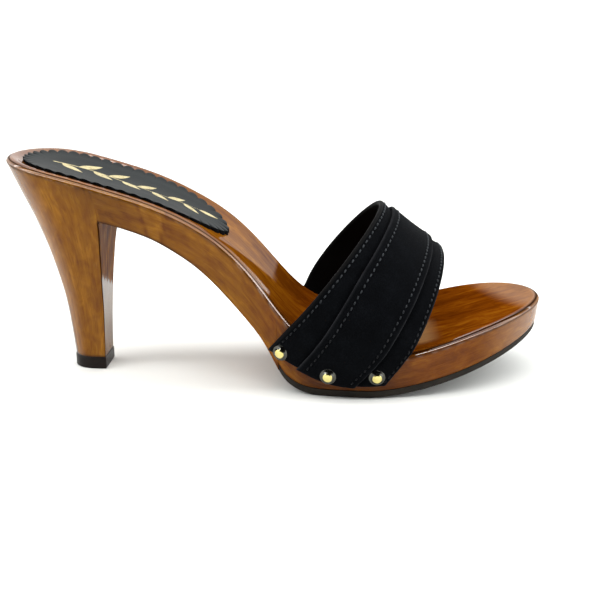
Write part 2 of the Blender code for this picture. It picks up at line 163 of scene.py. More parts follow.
# Heel pad, and its scalloped edge
PAD_LIFT = 0.08
PAD_THICK = 1.15
PAD_CROWN, PAD_CROWN_WIDE = 0.5, 12.0
PAD_MARGIN = {LATERAL_SIDE: 5.5, MEDIAL_SIDE: 8.0}
PAD_REAR = 7.2
PAD_FRONT = 90.2
PAD_FRONT_ROUND = 25.0
PAD_FRONT_POWER = 2.2
PAD_RINGS = np.array([0.0, 0.3, 0.6, 0.9, 1.3, 1.8, 2.5, 3.4])
PAD_INNER_POINTS, PAD_LINE_POINTS = 15, 60
PAD_MIDDLE = (PAD_REAR + 14.0, PAD_FRONT - 14.0)
PAD_CURL, PAD_CURL_WIDE = 0.2, 2.2
PAD_CREASE, PAD_CREASE_LONG = 0.7, 1.3
PAD_LEAST = 0.12
SCALLOP_PITCH = 4.8
SCALLOP_DEEP = 1.1
SCALLOP_POINTS = 10
SCALLOP_ROUND, SCALLOP_MIDDLE = 0.6, 0.65

# Gilt sprig: its stem, then its leaves, whose length and width are given at the stem's root with their change
STEM_START, STEM_LONG, STEM_POINTS = 18.0, 60.0, 60
STEM_SWING, STEM_WAVE = 2.6, 2.2 * math.pi
STEM_HALF, STEM_TAPER = 0.42, 1.15
LEAF_COUNT, LEAF_FIRST, LEAF_STEP = 9, 0.06, 0.105
LEAF_LEAN, LEAF_LONG, LEAF_WIDE = 0.72, (12.5, -4.5), (4.4, -1.2)
END_LEAF = (0.25, 8.0, 3.0)
LEAF_BEND, LEAF_ROUND = 0.12, 0.8
LEAF_POINTS, LEAF_ACROSS = 15, 7
GILT_LIFT, GILT_THICK = 0.03, 0.06

# Strap: rear and front ends of its lower edge, of its crossing of the sole's edge, and of its crest
STRAP_LIFT = 0.45
STRAP_THICK = 2.2
FOOT_X = {LATERAL_SIDE: (109.8, 156.2), MEDIAL_SIDE: (112.5, 159.0)}
CROSS_X = {LATERAL_SIDE: (118.7, 165.3), MEDIAL_SIDE: (121.0, 168.6)}
CREST_X = (152.6, 179.8)
CREST_Y = (3.0, 6.0)
CREST_Z = (71.0, 49.4)
CREST_SAG = 1.3
ARCH_POWER = {LATERAL_SIDE: 2.15, MEDIAL_SIDE: 2.5}
EDGE_BOW = {LATERAL_SIDE: (0.94, 0.87), MEDIAL_SIDE: (1.3, 1.0)}
WALL_SHARE = 0.2
FOOT_LINE = ((0.0, 18.3), (0.27, 12.2), (0.46, 8.4), (0.74, 6.2), (1.0, 6.6))
SLOPE_SPAN = 0.5
STRAP_SOFTEN = 14

# Fineness of the strap: rows and columns of its form, steps across the strips and round their folds,
# how even those across are, steps at their ends, and over how many rows the ends thin, and to what
WALL_ROWS, ARCH_ROWS = 60, 240
FORM_ROWS, FORM_COLUMNS = 321, 61
STRAP_STEPS, BAND_STEPS, FOLD_STEPS = 72, 48, 8
EVEN_STEPS = 0.6
CAP_STEPS, FAN_STEPS = 4, 3
PINCH_ROWS, PINCH_LEAST = 3, 0.35

# Band stitched on the strap: its rear and front edges across the strap, from the lower edge to the crest
BAND_EDGES = ((0.0, 0.26, 0.745), (0.2, 0.23, 0.76), (0.5, 0.18, 0.785), (1.0, 0.15, 0.785))
BAND_BASE = 2.1
BAND_TOP = 3.6
BAND_DENT, BAND_DENT_WIDE = 0.4, 1.4
# Width of the painted highlight along the strips' folded edges
HIGHLIGHT_WIDE = 0.55

# Stitch rows: distance in from the edge they follow, stitch size, and the furrow they pull in the leather
STRAP_INSET = 2.0
BAND_INSET = 3.0
STITCH_PITCH, STITCH_FIRST = 2.55, 1.2
STITCH_LONG = 1.6
STITCH_WIDE = 0.7
STITCH_LEAN, STITCH_SWAY, STITCH_TURN = 0.16, 0.1, 2.4
STITCH_ROUND, STITCH_SINK, STITCH_PROUD = 0.6, 0.35, 0.3
STITCH_RINGS, STITCH_AROUND = 8, 9
FURROW_DEEP, FURROW_WIDE = 0.28, 0.75

# Tacks: name, position along the sole, height, and height of the leather under the head
TACKS = (
    ("rear", 115.4, 18.2, STRAP_LIFT + STRAP_THICK),
    ("middle", 134.2, 11.0, STRAP_LIFT + BAND_TOP),
    ("front", 152.9, 10.8, STRAP_LIFT + STRAP_THICK),
)
TACK_MEDIAL_SHIFT = 2.8
TACK_RADIUS = 3.3
TACK_SINK = 0.25
TACK_POINTS, TACK_ROUND_POINTS = 40, 49

# Slope of a tack's head in degrees, against the distance along its profile from its middle
TACK_SLOPES = (
    (0.0, 0.0),
    (1.1, 12.0),
    (1.45, 22.0),
    (1.7, 50.0),
    (2.6, 50.0),
    (2.9, 30.0),
    (3.45, 26.0),
    (3.6, 90.0),
    (3.8, 90.0),
)
# Radius of the head's bright middle disc, past which the brass is painted dark as a painted reflection, and
# the width of that change
TACK_DISC, TACK_DISC_FADE = 1.78, 0.2

# How near a point of the wood lies to a face or edge that it counts as part of
BED_NEAR, WALL_NEAR, HEEL_NEAR = 0.4, 1.0, 0.01
RIM_NEAR, BREAST_NEAR, LEVEL_NEAR = 0.05, 0.5, 0.002

# Grain: where it starts and how fine it is on the heel block, the rounds that find the seat's point above
# a heel's point, what sets the two walls' grain apart, and the steps that measure it along the sole
HEEL_GRAIN_START, HEEL_GRAIN_FINE, SEAT_ROUNDS = 400.0, 0.6, 4
WALL_GRAIN_APART, GRAIN_STEPS = 60.0, 800

# Stain from the sides' colour to the footbed's, along the footbed and on the walls
BED_STAIN = ((40.0, 0.6), (85.0, 0.1), (100.0, 0.1), (112.0, 0.55), (125.0, 1.0))
WALL_STAIN, WALL_STAIN_X = 0.75, (92.0, 120.0, 185.0, 215.0)

# Painted dark reflection lines round the rim (share of the way round it, width, darkness), which widen
# along the sole
PAINTED_RIM_LINES = ((0.42, 0.10, 1.0), (0.93, 0.08, 0.7))
RIM_LINE_GROWS, LINE_GROWS_X, LINE_GROWS_LONG = 0.8, 100.0, 60.0

# A dark line at the heel's joint; painted shade as dark lines at the foot of the walls and the breast's
# corners, and as broad dark shades below the seat, round the heel's joint and under the strap
JOINT_DARK, JOINT_WIDE = 0.06, 0.4
EDGE_LINE_SHADE, FOOT_HIGH = 0.85, 1.4
CORNER_LINE = 0.45
SEAT_SHADE, SEAT_SHADE_HIGH, SEAT_SHADE_END, SEAT_SHADE_FADE = 0.22, 9.0, 75.0, 25.0
JOINT_SHADE, JOINT_SHADE_WIDE, JOINT_SHADE_HIGH = 0.26, 11.0, 22.0
UNDER_STRAP, UNDER_STRAP_X = 0.38, (110.0, 125.0, 150.0, 175.0)

# Breast of the heel: glossy and darker below a ragged slanting line; dull, streaked, and stained darker as
# painted shade above it.
# Its gloss is given at the foot, at the line and above it, the line by a height, its slope in y and a wave
BREAST_GLOSS = (0.4, 0.75, 0.1)
BREAST_SHADE_STAIN, BREAST_LOW_DARK, BREAST_STREAK = 0.45, 0.45, 0.22
BREAST_LINE, BREAST_WAVE = (37.6, -0.41), (0.6, 1.3)
BREAST_FADE = 3.0

# Gloss along the rim, and of the satin walls, which are glossier at both ends
RIM_GLOSS = ((4.0, 0.9), (20.0, 0.45), (94.0, 0.42), (104.0, 1.0), (182.0, 1.0), (198.0, 0.6))
WALL_GLOSS, END_GLOSS = 0.09, 0.66
REAR_GLOSS, TOE_GLOSS = 20.0, 192.0

# Gloss of the footbed: falling from the rear to the ball, where it stops, with a dull wedge whose two edges
# are given by their y at one x and their slopes; then a little gloss at the toe's end, past a slanting line
SHANK_GLOSS = ((6.0, 1.0), (30.0, 0.72), (75.0, 0.31))
BAND_GLOSS = 0.37
BALL_GLOSS_END, BALL_GLOSS_FADE = 109.0, 0.8
WEDGE_X, WEDGE_Y, WEDGE_SLOPE, WEDGE_FADE = 91.4, (-23.0, -16.0), (0.22, 1.0), 1.2
TOE_GLOSS_X, TOE_GLOSS_SLOPE, TOE_GLOSS_FADE = 212.5, -0.367, 9.0
TOE_BED_GLOSS = 0.3

# Tone of the footbed: darker in the wedge, with painted shade behind the strap, paler at the toe's end, and
# a painted pale reflection there and in front of the strap
WEDGE_DEEP = 0.4
BALL_PAINTED_SHADE, BALL_PAINTED_SHADE_X = 0.35, (118.0, 128.0)
TOE_BED_PALE, TOE_PAINTED_REFLECTION = 0.45, 0.2
PAINTED_REFLECTION_PALE, PAINTED_REFLECTION_X, PAINTED_REFLECTION_Y = 0.42, (158.0, 166.0, 172.0, 180.0), (-26.0, -18.0, 4.0, 12.0)

# Pale figure in the shank: where its ends stand, how they lean, and how strongly they show
FIGURE_ENDS = ((58.2, 0.2), (70.0, -0.25))
FIGURE_SOFT, FIGURE_LINE = 1.5, 0.5
FIGURE_PALE, FIGURE_DARK = 0.35, 0.35

# Layers of the wood's grain: scales along and across it, then detail, roughness and distortion of a noise
GRAIN_LAYERS = {
    "broad": (0.012, 0.07, 3.0, 0.5, 0.6),
    "streak": (0.014, 0.40, 6.0, 0.6, 0.3),
    "fine": (0.08, 1.7, 4.0, 0.6, 0.0),
    "pore": (0.2, 3.2, 2.0, 0.5, 0.0),
    "curl": (0.09, 0.20, 3.0, 0.55, 1.4),
}
TONE_WEIGHTS = {"broad": 0.35, "streak": 0.19, "fine": 0.17, "curl": 0.29}
TONE_RANGE = (0.39, 0.61)
NOISE_RANGE = (0.3, 0.7)
PORE_RANGE, PORE_DARK = (0.58, 0.72), 0.4
COAT_STREAK = 0.025

# Wood colours from the darkest grain to the lightest, on the sides and on the footbed, then those mixed in
# for pores, the dark joint line and painted shade, a painted pale reflection, painted shade in the pad's
# creases, the brass's painted dark reflection, the nubuck's painted edge highlight and the thread's painted
# light
WOOD_SIDE = (
    (0.0, (0.120, 0.035, 0.0015)),
    (0.35, (0.176, 0.060, 0.0026)),
    (0.65, (0.222, 0.081, 0.0040)),
    (1.0, (0.300, 0.124, 0.0085)),
)
WOOD_BED = (
    (0.0, (0.068, 0.013, 0.0005)),
    (0.35, (0.106, 0.023, 0.0008)),
    (0.65, (0.144, 0.035, 0.0012)),
    (1.0, (0.215, 0.064, 0.0030)),
)
WOOD_PORE = (0.045, 0.012, 0.002, 1.0)
WOOD_DARK_AND_SHADE = (0.012, 0.004, 0.001, 1.0)
WOOD_PAINTED_REFLECTION = (0.42, 0.26, 0.12, 1.0)
PAD_CREASE_SHADE = (0.002, 0.002, 0.0025, 1.0)
BRASS_PAINTED_DARK = (0.075, 0.075, 0.066, 1.0)
NUBUCK_BLACK = (0.0007, 0.0008, 0.0012), (0.0016, 0.0019, 0.0026), (0.0045, 0.0052, 0.0066)
NUBUCK_EDGE_HIGHLIGHT = (0.021, 0.0215, 0.024, 1.0)
THREAD_PAINTED_LIGHT = (0.030, 0.034, 0.038, 1.0)
THREAD_LIT_HEIGHTS = (0.018, 0.055)

# Rubber: darkest and lightest colour, and roughness
SOLE_RUBBER = (0.010, 0.008, 0.006), (0.028, 0.023, 0.018), (0.6, 0.8)
TIP_RUBBER = (0.004, 0.0022, 0.0016), (0.010, 0.006, 0.0045), (0.26, 0.38)

# Camera, in the shoe's millimetres: where it stands, how it is turned, and its lens
CAMERA_PLACE = (145.6, -414.5, 156.4)
CAMERA_YAW, CAMERA_PITCH = 3.48, 16.90
CAMERA_LENS, CAMERA_SENSOR = 61.27, 36.0

# Studio light by direction. Angles run from the horizon in front (0) over the top (90) to the one
# behind (180), and a strip's are those between which it rises and falls, with its strength
STRIPS = (
    (62.0, 64.0, 69.0, 71.0, 11.0),
    (83.0, 87.0, 103.0, 107.0, 3.7),
    (126.0, 128.0, 131.0, 133.0, 6.0),
)
STRIP_ENDS = (0.9, 0.75)
BACKDROP_RISE, BACKDROP_LIGHT = (118.0, 135.0), 1.0
SIDE_LIGHTS = (((-0.55, -0.8), 1.9), ((0.6, 0.85), 3.2))
ROOM_LIGHT = 0.03
SKY_TINT = ((0.0, (1.0, 1.0, 1.0)), (1.0, (1.0, 0.99, 0.975)))
FLOOR_REACH = 40.0

sole_low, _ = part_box("wooden_sole")
tip_low, tip_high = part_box("heel_tip")
SHIFT = np.array([sole_low.x, (tip_low.y + tip_high.y) / 2, 0.0])


def curve(table, column):
    """A smooth line through one column of a table, read against its first column."""
    rows = np.array(table, float)
    knots = rows[:, 0]
    values = rows[:, column]
    step = np.diff(knots)
    slope = np.diff(values) / step
    size = len(knots)
    matrix = np.eye(size)
    pull = np.zeros(size)
    for i in range(1, size - 1):
        matrix[i, i - 1 : i + 2] = step[i - 1], 2 * (step[i - 1] + step[i]), step[i]
        pull[i] = 6 * (slope[i] - slope[i - 1])
    bend = np.linalg.solve(matrix, pull)

    def at(where):
        i = np.clip(np.searchsorted(knots, where) - 1, 0, size - 2)
        after = where - knots[i]
        before = knots[i + 1] - where
        cubic = (bend[i] * before**3 + bend[i + 1] * after**3) / (6 * step[i])
        start = (values[i] / step[i] - bend[i] * step[i] / 6) * before
        end = (values[i + 1] / step[i] - bend[i + 1] * step[i] / 6) * after
        return cubic + start + end

    return at


half_width = {
    LATERAL_SIDE: curve(SOLE_SECTIONS, LATERAL),
    MEDIAL_SIDE: curve(SOLE_SECTIONS, MEDIAL),
}
edge_height = curve(SOLE_SECTIONS, EDGE)
dish_depth = curve(SOLE_SECTIONS, DISH)
wall_lean = curve(SOLE_SECTIONS, LEAN)
bottom_curve = curve(BOTTOM_LINE, 1)
heel_back = curve(HEEL_LEVELS, BACK)
heel_breast = curve(HEEL_LEVELS, BREAST)
heel_half = curve(HEEL_LEVELS, HALF)
foot_height = curve(FOOT_LINE, 1)


def read(table, x):
    """A table's second column, read in straight lines against its first."""
    return np.interp(x, *np.transpose(table))


def ease(share):
    """A smooth step from 0 to 1."""
    share = np.clip(share, 0, 1)
    return share * share * (3 - 2 * share)


def soft(distance, fade):
    """A smooth step that is halfway up where the distance is 0."""
    return ease(distance / fade + 0.5)


def bell(distance, wide):
    return np.exp(-((distance / wide) ** 2))


def plateau(x, places):
    """0 up to the first place, 1 between the second and third, 0 again from the fourth."""
    start, full, fade, end = places
    return ease((x - start) / (full - start)) * ease((end - x) / (end - fade))


def mix(pair, share):
    return pair[0] * (1 - share) + pair[1] * share


def quarter(points):
    """Angles from 0 to a quarter turn."""
    return np.linspace(0, QUARTER_TURN, points)


def columns(points):
    return np.stack(points, axis=1)


def with_height(flat, z):
    return np.concatenate([flat, np.asarray(z, float)[..., None]], axis=-1)


def between(start, end, steps):
    """Points from start to end along a new second axis, at even steps or at a list of shares."""
    share = np.linspace(0, 1, steps + 1) if isinstance(steps, int) else steps
    return mix((start[:, None, :], end[:, None, :]), share[None, :, None])


def unit(vectors):
    return vectors / np.maximum(np.linalg.norm(vectors, axis=-1, keepdims=True), 1e-9)


def run_along(line):
    """How far each point of a line lies from its start, along the line."""
    return np.concatenate([[0], np.cumsum(np.linalg.norm(np.diff(line, axis=0), axis=1))])


def line_at(where, run, line):
    """A line's points, or what goes with them, at distances along it."""
    return np.stack([np.interp(where, run, values) for values in line.T], axis=-1)


def left_of_loop(loop):
    """Outward directions of a closed flat line that runs round its shape with the shape on its left."""
    along = unit(np.roll(loop, -1, axis=0) - np.roll(loop, 1, axis=0))
    return columns([along[:, 1], -along[:, 0]])


# Sole and heel


def plan_y(side, x):
    """Edge of the sole's plan on one side."""
    rear = np.clip(1 - x / REAR_ROUND, 0, 1)
    toe = np.clip((x - SOLE_LENGTH + TOE_ROUND) / TOE_ROUND, 0, 1)
    ends = np.sqrt(1 - rear**2) * np.sqrt(1 - toe**TOE_POWER)
    swing = TOE_SWING * np.clip((x - SWING_START) / (SOLE_LENGTH - SWING_START), 0, 1) ** 2
    return swing + side * half_width[side](x) * ends


def past_flat(x):
    """Share of the way from the flat of the tread to the toe's end."""
    return np.clip((x - FLAT_TO) / (SOLE_LENGTH - FLAT_TO), 0, 1)


def bottom_height(x):
    """Lowest line of the shoe: arch, flat tread, toe spring."""
    arch = np.maximum(bottom_curve(np.minimum(x, FLAT_TO)), 0)
    return np.where(x < FLAT_FROM, arch, past_flat(x) ** SPRING_POWER * TOE_SPRING)


def rubber_thickness(x):
    """The rubber thins towards the toe."""
    return RUBBER_THICK - RUBBER_TAPER * past_flat(x)


def wood_bottom(x):
    """Underside of the wood, which steps up at the rebate for the rubber."""
    return bottom_height(x) + np.where(x > REBATE_X, rubber_thickness(x), 0)


def sole_stations():
    """Places along the sole: close together round the rear, the breast's corner and the toe."""
    toe_start = SOLE_LENGTH - TOE_ROUND
    rear = REAR_ROUND * (1 - np.cos(quarter(REAR_POINTS)))
    seat = np.linspace(REAR_ROUND, HEEL_END - BREAST_CORNER, SEAT_POINTS)[1:]
    corner = HEEL_END - BREAST_CORNER * (1 - np.sin(quarter(CORNER_POINTS)))[1:]
    shank = np.linspace(HEEL_END, REBATE_X, SHANK_POINTS)[1:]
    ball = np.linspace(REBATE_X + REBATE_STEP, toe_start, BALL_POINTS)
    toe = toe_start + TOE_ROUND * np.sin(quarter(TOE_POINTS))[1:]
    return np.concatenate([rear, seat, corner, shank, ball, toe])


def plan_ring(x):
    """Edge points and outward directions in plan for each side, for stations from end to end."""
    points = {side: columns([x, plan_y(side, x)]) for side in half_width}
    outward = left_of_loop(np.concatenate([points[LATERAL_SIDE], points[MEDIAL_SIDE][-2:0:-1]]))
    count = len(x)
    back = np.concatenate([outward[:1], outward[: count - 2 : -1]])
    return points, {LATERAL_SIDE: outward[:count], MEDIAL_SIDE: back}


STATIONS = sole_stations()
RING, OUTWARD = plan_ring(STATIONS)
HEEL_COUNT = int(np.searchsorted(STATIONS, HEEL_END, side="right"))
RUBBER_FIRST = int(np.searchsorted(STATIONS, REBATE_X, side="right"))


def outline():
    """A search tree of points all along the sole's edge, and how far each lies from the rear along it."""
    x = SOLE_LENGTH / 2 * (1 - np.cos(np.linspace(0, math.pi, OUTLINE_POINTS)))
    lines = [columns([x, plan_y(side, x), edge_height(x)]) for side in half_width]
    points = np.concatenate(lines)
    tree = KDTree(len(points))
    for number, place in enumerate(points):
        tree.insert((place[0], place[1], 0.0), number)
    tree.balance()
    return tree, np.concatenate([run_along(line) for line in lines])


OUTLINE_TREE, OUTLINE_RUN = outline()


def nearest_edge(x, y):
    """Distance in from the sole's outline, in plan, and the outline's point nearest to each place."""
    found = [OUTLINE_TREE.find((px, py, 0.0)) for px, py in zip(np.ravel(x), np.ravel(y))]
    inset = np.array([hit[2] for hit in found]).reshape(np.shape(x))
    return inset, np.array([hit[1] for hit in found]).reshape(np.shape(x))


def inset_of(x, y):
    return nearest_edge(x, y)[0]


def footbed_height(x, y):
    """Dished upper face of the wood, inside the crest of its rim."""
    low = plan_y(LATERAL_SIDE, x)
    high = plan_y(MEDIAL_SIDE, x)
    reach = np.maximum((high - low) / 2 - RIM_WIDE, 1)
    share = np.clip((y - (low + high) / 2) / reach, -1, 1)
    settle = ease((inset_of(x, y) - RIM_WIDE) / RIM_EASE)
    return edge_height(x) - dish_depth(x) * (1 - share**2) * settle


def rim_columns(side):
    """The rounded rim, from its crest out and down to the top of the wall."""
    rim = []
    for turn in quarter(RIM_POINTS):
        out = math.sin(turn) ** (2 / RIM_POWER)
        up = max(math.cos(turn), 0.0) ** (2 / RIM_POWER)
        flat = RING[side] - OUTWARD[side] * RIM_WIDE * (1 - out)
        rim.append(with_height(flat, edge_height(flat[:, 0]) - EDGE_ROUND * (1 - up)))
    return columns(rim)


def footbed_patch(crest):
    """From the rim's crest in to the middle line, which stops short of both ends."""
    x = np.clip(STATIONS, *BED_MIDDLE)
    middle = columns([x, (plan_y(LATERAL_SIDE, x) + plan_y(MEDIAL_SIDE, x)) / 2])
    bed = [crest]
    for share in np.linspace(0, 1, BED_POINTS)[1:] ** BED_CROWDING:
        flat = mix((crest[:, :2], middle), share)
        bed.append(with_height(flat, footbed_height(*flat.T)))
    return columns(bed)


def heel_point(side, share):
    """Heel wall at one share of the way up, under the seat's edge points."""
    seat_x, seat_y = RING[side][:HEEL_COUNT].T
    span = heel_breast(share) - heel_back(share)
    x = heel_back(share) + span * seat_x / HEEL_END
    turn = np.clip((seat_x - HEEL_END + BREAST_CORNER) / BREAST_CORNER, 0, 1)
    corner = BREAST_CORNER * (1 - np.sqrt(1 - turn**2)) * ease((SHANK_LEVEL - share) / CORNER_FADE)
    y = (seat_y - side * corner) * heel_half(share) / heel_half(1.0)
    z = TIP_THICK + share * (edge_height(seat_x) - EDGE_ROUND - TIP_THICK)
    return columns([x, y, z])


def wall_columns(side, top):
    """Down the wall to a small fillet at its foot; at the heel, down to the level of the shank."""
    outward = with_height(OUTWARD[side], np.zeros(len(STATIONS)))
    foot = with_height(RING[side] - OUTWARD[side] * wall_lean(STATIONS)[:, None], wood_bottom(STATIONS))
    up = unit(top - foot)
    fillet = FOOT_FILLET * ease((STATIONS - HEEL_END) / FILLET_FADE)[:, None]
    wall = []
    for share in np.linspace(0, 1, WALL_POINTS)[1:]:
        column = mix((top, foot + up * fillet), share)
        column[:HEEL_COUNT] = heel_point(side, 1 - share * (1 - SHANK_LEVEL))
        wall.append(column)
    for turn in quarter(FOOT_POINTS)[1:]:
        column = foot + up * fillet * (1 - math.sin(turn)) - outward * fillet * (1 - math.cos(turn))
        column[:HEEL_COUNT] = wall[-1][:HEEL_COUNT]
        wall.append(column)
    return columns(wall)


def sole_patches():
    """Footbed, outside and heel wall of each side, then underside, heel breast and tread between them."""
    patches = []
    feet = []
    heels = []
    for side in RING:
        rim = rim_columns(side)
        wall = wall_columns(side, rim[:, -1])
        heel = columns([heel_point(side, share) for share in np.linspace(SHANK_LEVEL, 0, HEEL_POINTS)])
        patches += [footbed_patch(rim[:, 0]), np.concatenate([rim, wall], axis=1), heel]
        feet.append(wall[HEEL_COUNT - 1 :, -1])
        heels.append(heel)
    breast = [heel[HEEL_COUNT - 1] for heel in heels]
    tread = [heel[:, -1] for heel in heels]
    return patches + [between(*pair, UNDER_SHARES) for pair in (feet, breast, tread)]


def rubber_patches(sides, end, steps):
    """A rubber piece's two sides, with its top, its tread and one flat end between them."""
    pairs = [[side[:, 0] for side in sides], [side[:, -1] for side in sides], [side[end] for side in sides]]
    return sides + [between(*pair, steps) for pair in pairs]


def outsole_patches():
    """Rubber sheet under the forefoot, with a rounded lower edge."""
    x = STATIONS[RUBBER_FIRST:]
    low = bottom_height(x)
    inset = wall_lean(STATIONS)[:, None] + RUBBER_INSET
    sides = []
    for side in RING:
        rim = (RING[side] - OUTWARD[side] * inset)[RUBBER_FIRST:]
        edge = [with_height(rim, low + rubber_thickness(x))]
        for turn in quarter(RUBBER_POINTS):
            flat = rim - OUTWARD[side][RUBBER_FIRST:] * RUBBER_FILLET * (1 - math.cos(turn))
            edge.append(with_height(flat, low + RUBBER_FILLET * (1 - math.sin(turn))))
        sides.append(columns(edge))
    return rubber_patches(sides, 0, RUBBER_ACROSS)


def heel_tip_patches():
    """Rubber top piece, a little proud of the heel, with softened edges."""
    middle = (heel_back(0.0) + heel_breast(0.0)) / 2
    sides = []
    for side in RING:
        rim = heel_point(side, 0.0)[:, :2]
        out = columns([np.clip((rim[:, 0] - middle) / TIP_EASE, -1, 1), rim[:, 1] / heel_half(0.0)])
        upper = []
        lower = []
        for turn in quarter(TIP_POINTS):
            flat = rim + out * (TIP_PROUD - TIP_FILLET * (1 - math.sin(turn)))
            fall = np.full(len(rim), TIP_FILLET * (1 - math.cos(turn)))
            upper.append(with_height(flat, TIP_THICK - fall))
            lower.append(with_height(flat, fall))
        sides.append(columns(upper + lower[::-1]))
    return rubber_patches(sides, -1, TIP_ACROSS)


# Heel pad


def pad_outline():
    """Closed line round the pad, even along its length and scalloped."""
    front_start = PAD_FRONT - PAD_FRONT_ROUND
    turn = quarter(PAD_LINE_POINTS)
    rear = PAD_REAR + (REAR_ROUND - PAD_REAR) * (1 - np.cos(turn))
    middle = np.linspace(REAR_ROUND, front_start, PAD_LINE_POINTS)[1:]
    front = front_start + PAD_FRONT_ROUND * np.sin(turn)[1:]
    x = np.concatenate([rear, middle, front])
    rear_share = np.clip((REAR_ROUND - x) / (REAR_ROUND - PAD_REAR), 0, 1)
    front_share = np.clip((x - front_start) / PAD_FRONT_ROUND, 0, 1)
    ends = np.sqrt(1 - rear_share**2) * np.sqrt(1 - front_share**PAD_FRONT_POWER)
    lines = [columns([x, side * (half_width[side](x) - PAD_MARGIN[side]) * ends]) for side in half_width]
    loop = np.concatenate([lines[0], lines[1][-2::-1]])
    run = run_along(loop)
    lobes = round(run[-1] / SCALLOP_PITCH)
    even = np.linspace(0, run[-1], lobes * SCALLOP_POINTS + 1)[:-1]
    line = line_at(even, run, loop)
    wave = np.abs(np.sin(math.pi * np.arange(len(even)) / SCALLOP_POINTS)) ** SCALLOP_ROUND
    return line + left_of_loop(line) * (SCALLOP_DEEP * (wave - SCALLOP_MIDDLE))[:, None], wave


def pad_top(x, y):
    """Upper face of the pad, crowned a little in the middle."""
    crown = PAD_CROWN * ease((inset_of(x, y) - PAD_MARGIN[LATERAL_SIDE]) / PAD_CROWN_WIDE)
    return footbed_height(x, y) + PAD_LIFT + PAD_THICK + crown


def pad_patches():
    """Pad with a curled, scalloped edge: its top, then the rest, and how creased they are, which is painted
    as shade.
    """
    line, wave = pad_outline()
    closed = np.concatenate([line, line[:1]])
    crease = 1 - np.concatenate([wave, wave[:1]])
    x = np.clip(closed[:, 0], *PAD_MIDDLE)
    middle = columns([x, np.full(len(x), (closed[:, 1].max() + closed[:, 1].min()) / 2)])
    length = np.linalg.norm(middle - closed, axis=1)
    top = []
    bottom = []
    creased = []
    last = PAD_RINGS[-1]
    for step in np.concatenate([PAD_RINGS, last + np.linspace(0, 1, PAD_INNER_POINTS)[1:]]):
        edge_share = min(step, last) / length
        share = edge_share + (1 - edge_share) * max(step - last, 0.0)
        away = share * length
        flat = mix((closed, middle), share[:, None])
        bed = footbed_height(*flat.T) + PAD_LIFT
        near = crease * np.exp(-away / PAD_CREASE_LONG)
        high = pad_top(*flat.T) + PAD_CURL * bell(away, PAD_CURL_WIDE) - PAD_CREASE * near
        top.append(with_height(flat, np.maximum(high, bed + PAD_LEAST)))
        bottom.append(with_height(flat, bed))
        creased.append(near)
    edge = columns([bottom[0], top[0]])
    creased = columns(creased)
    return ([columns(top)], [columns(bottom), edge]), ([creased], [creased, np.ones(edge.shape[:2])])


def leaf(root, heading, long, wide):
    """Flat grid of one pointed leaf: stations along it by steps across it."""
    along = np.linspace(0, 1, LEAF_POINTS)[:, None]
    half = wide / 2 * np.sin(math.pi * along**LEAF_ROUND)
    across = np.linspace(-1, 1, LEAF_ACROSS)[None, :] * half
    forward = np.array([math.cos(heading), math.sin(heading)])
    left = np.array([-forward[1], forward[0]])
    bend = LEAF_BEND * long * along**2
    return root + forward * (along * long)[..., None] + left * (across + bend)[..., None]


def stem_point(share):
    return np.stack([STEM_START + STEM_LONG * share, STEM_SWING * np.sin(share * STEM_WAVE)], axis=-1)


def sprig_patches():
    """A plain gilt sprig: a stem with leaves on both sides, pressed on the pad."""
    share = np.linspace(0, 1, STEM_POINTS)
    stem = stem_point(share)
    half = columns([0 * share, STEM_HALF * (STEM_TAPER - share)])
    shapes = [columns([stem + half * side for side in (-1, 0, 1)])]
    for number in range(LEAF_COUNT):
        at = LEAF_FIRST + number * LEAF_STEP
        lean = LEAF_LEAN if number % 2 else -LEAF_LEAN
        long, wide = [start + change * at for start, change in (LEAF_LONG, LEAF_WIDE)]
        shapes.append(leaf(stem_point(at), lean, long, wide))
    shapes.append(leaf(stem[-1], *END_LEAF))
    patches = []
    for flat in shapes:
        high = with_height(flat, pad_top(flat[..., 0], flat[..., 1]) + GILT_LIFT)
        low = high - np.array([0, 0, GILT_THICK])
        patches += [high, low]
        patches += [columns([high[:, end], low[:, end]]) for end in (0, -1)]
        patches += [columns([high[end], low[end]]) for end in (0, -1)]
    return patches


# Strap and band


def wall_point(side, x, z, lift):
    """A point lifted off the sole's side wall, with the wall's outward direction."""
    slope = (plan_y(side, x + SLOPE_SPAN) - plan_y(side, x - SLOPE_SPAN)) / (2 * SLOPE_SPAN)
    top = edge_height(x) - EDGE_ROUND
    tall = top - wood_bottom(x)
    fall = wall_lean(x) * np.clip((top - z) / tall, 0, 1)
    lean = wall_lean(x) / tall
    stretch = np.sqrt(1 + slope**2)
    y = plan_y(side, x) + side * (lift - fall) * stretch
    outward = np.stack([-side * slope, side * np.ones_like(x), -lean * stretch], axis=-1)
    return np.stack([x, y, z], axis=-1), unit(outward)


def strap_side(side, across, hoop):
    """Inner face of the strap on one side: across runs rear to front, hoop from lower edge to crest."""
    cross_x = mix(CROSS_X[side], across)
    cross_z = edge_height(cross_x)
    rise = np.clip(hoop / WALL_SHARE, 0, 1)
    wall_x = mix((mix(FOOT_X[side], across), cross_x), rise)
    wall_z = mix((foot_height(across), cross_z), rise)
    wall, _ = wall_point(side, wall_x, wall_z, STRAP_LIFT)
    turn = np.clip((hoop - WALL_SHARE) / (1 - WALL_SHARE), 0, 1) * QUARTER_TURN
    climb = np.sin(turn) ** (2 / ARCH_POWER[side])
    spread = np.cos(turn).clip(0, 1) ** (2 / ARCH_POWER[side])
    crest_y = mix(CREST_Y, across)
    arch_x = mix((cross_x, mix(CREST_X, across)), climb ** mix(EDGE_BOW[side], across))
    arch_y = crest_y + (wall[..., 1] - crest_y) * spread
    crest_z = mix(CREST_Z, across) - CREST_SAG * 4 * across * (1 - across)
    arch_z = mix((cross_z, crest_z), climb)
    arch = np.stack([arch_x, arch_y, arch_z], axis=-1)
    return np.where((hoop > WALL_SHARE)[..., None], arch, wall)


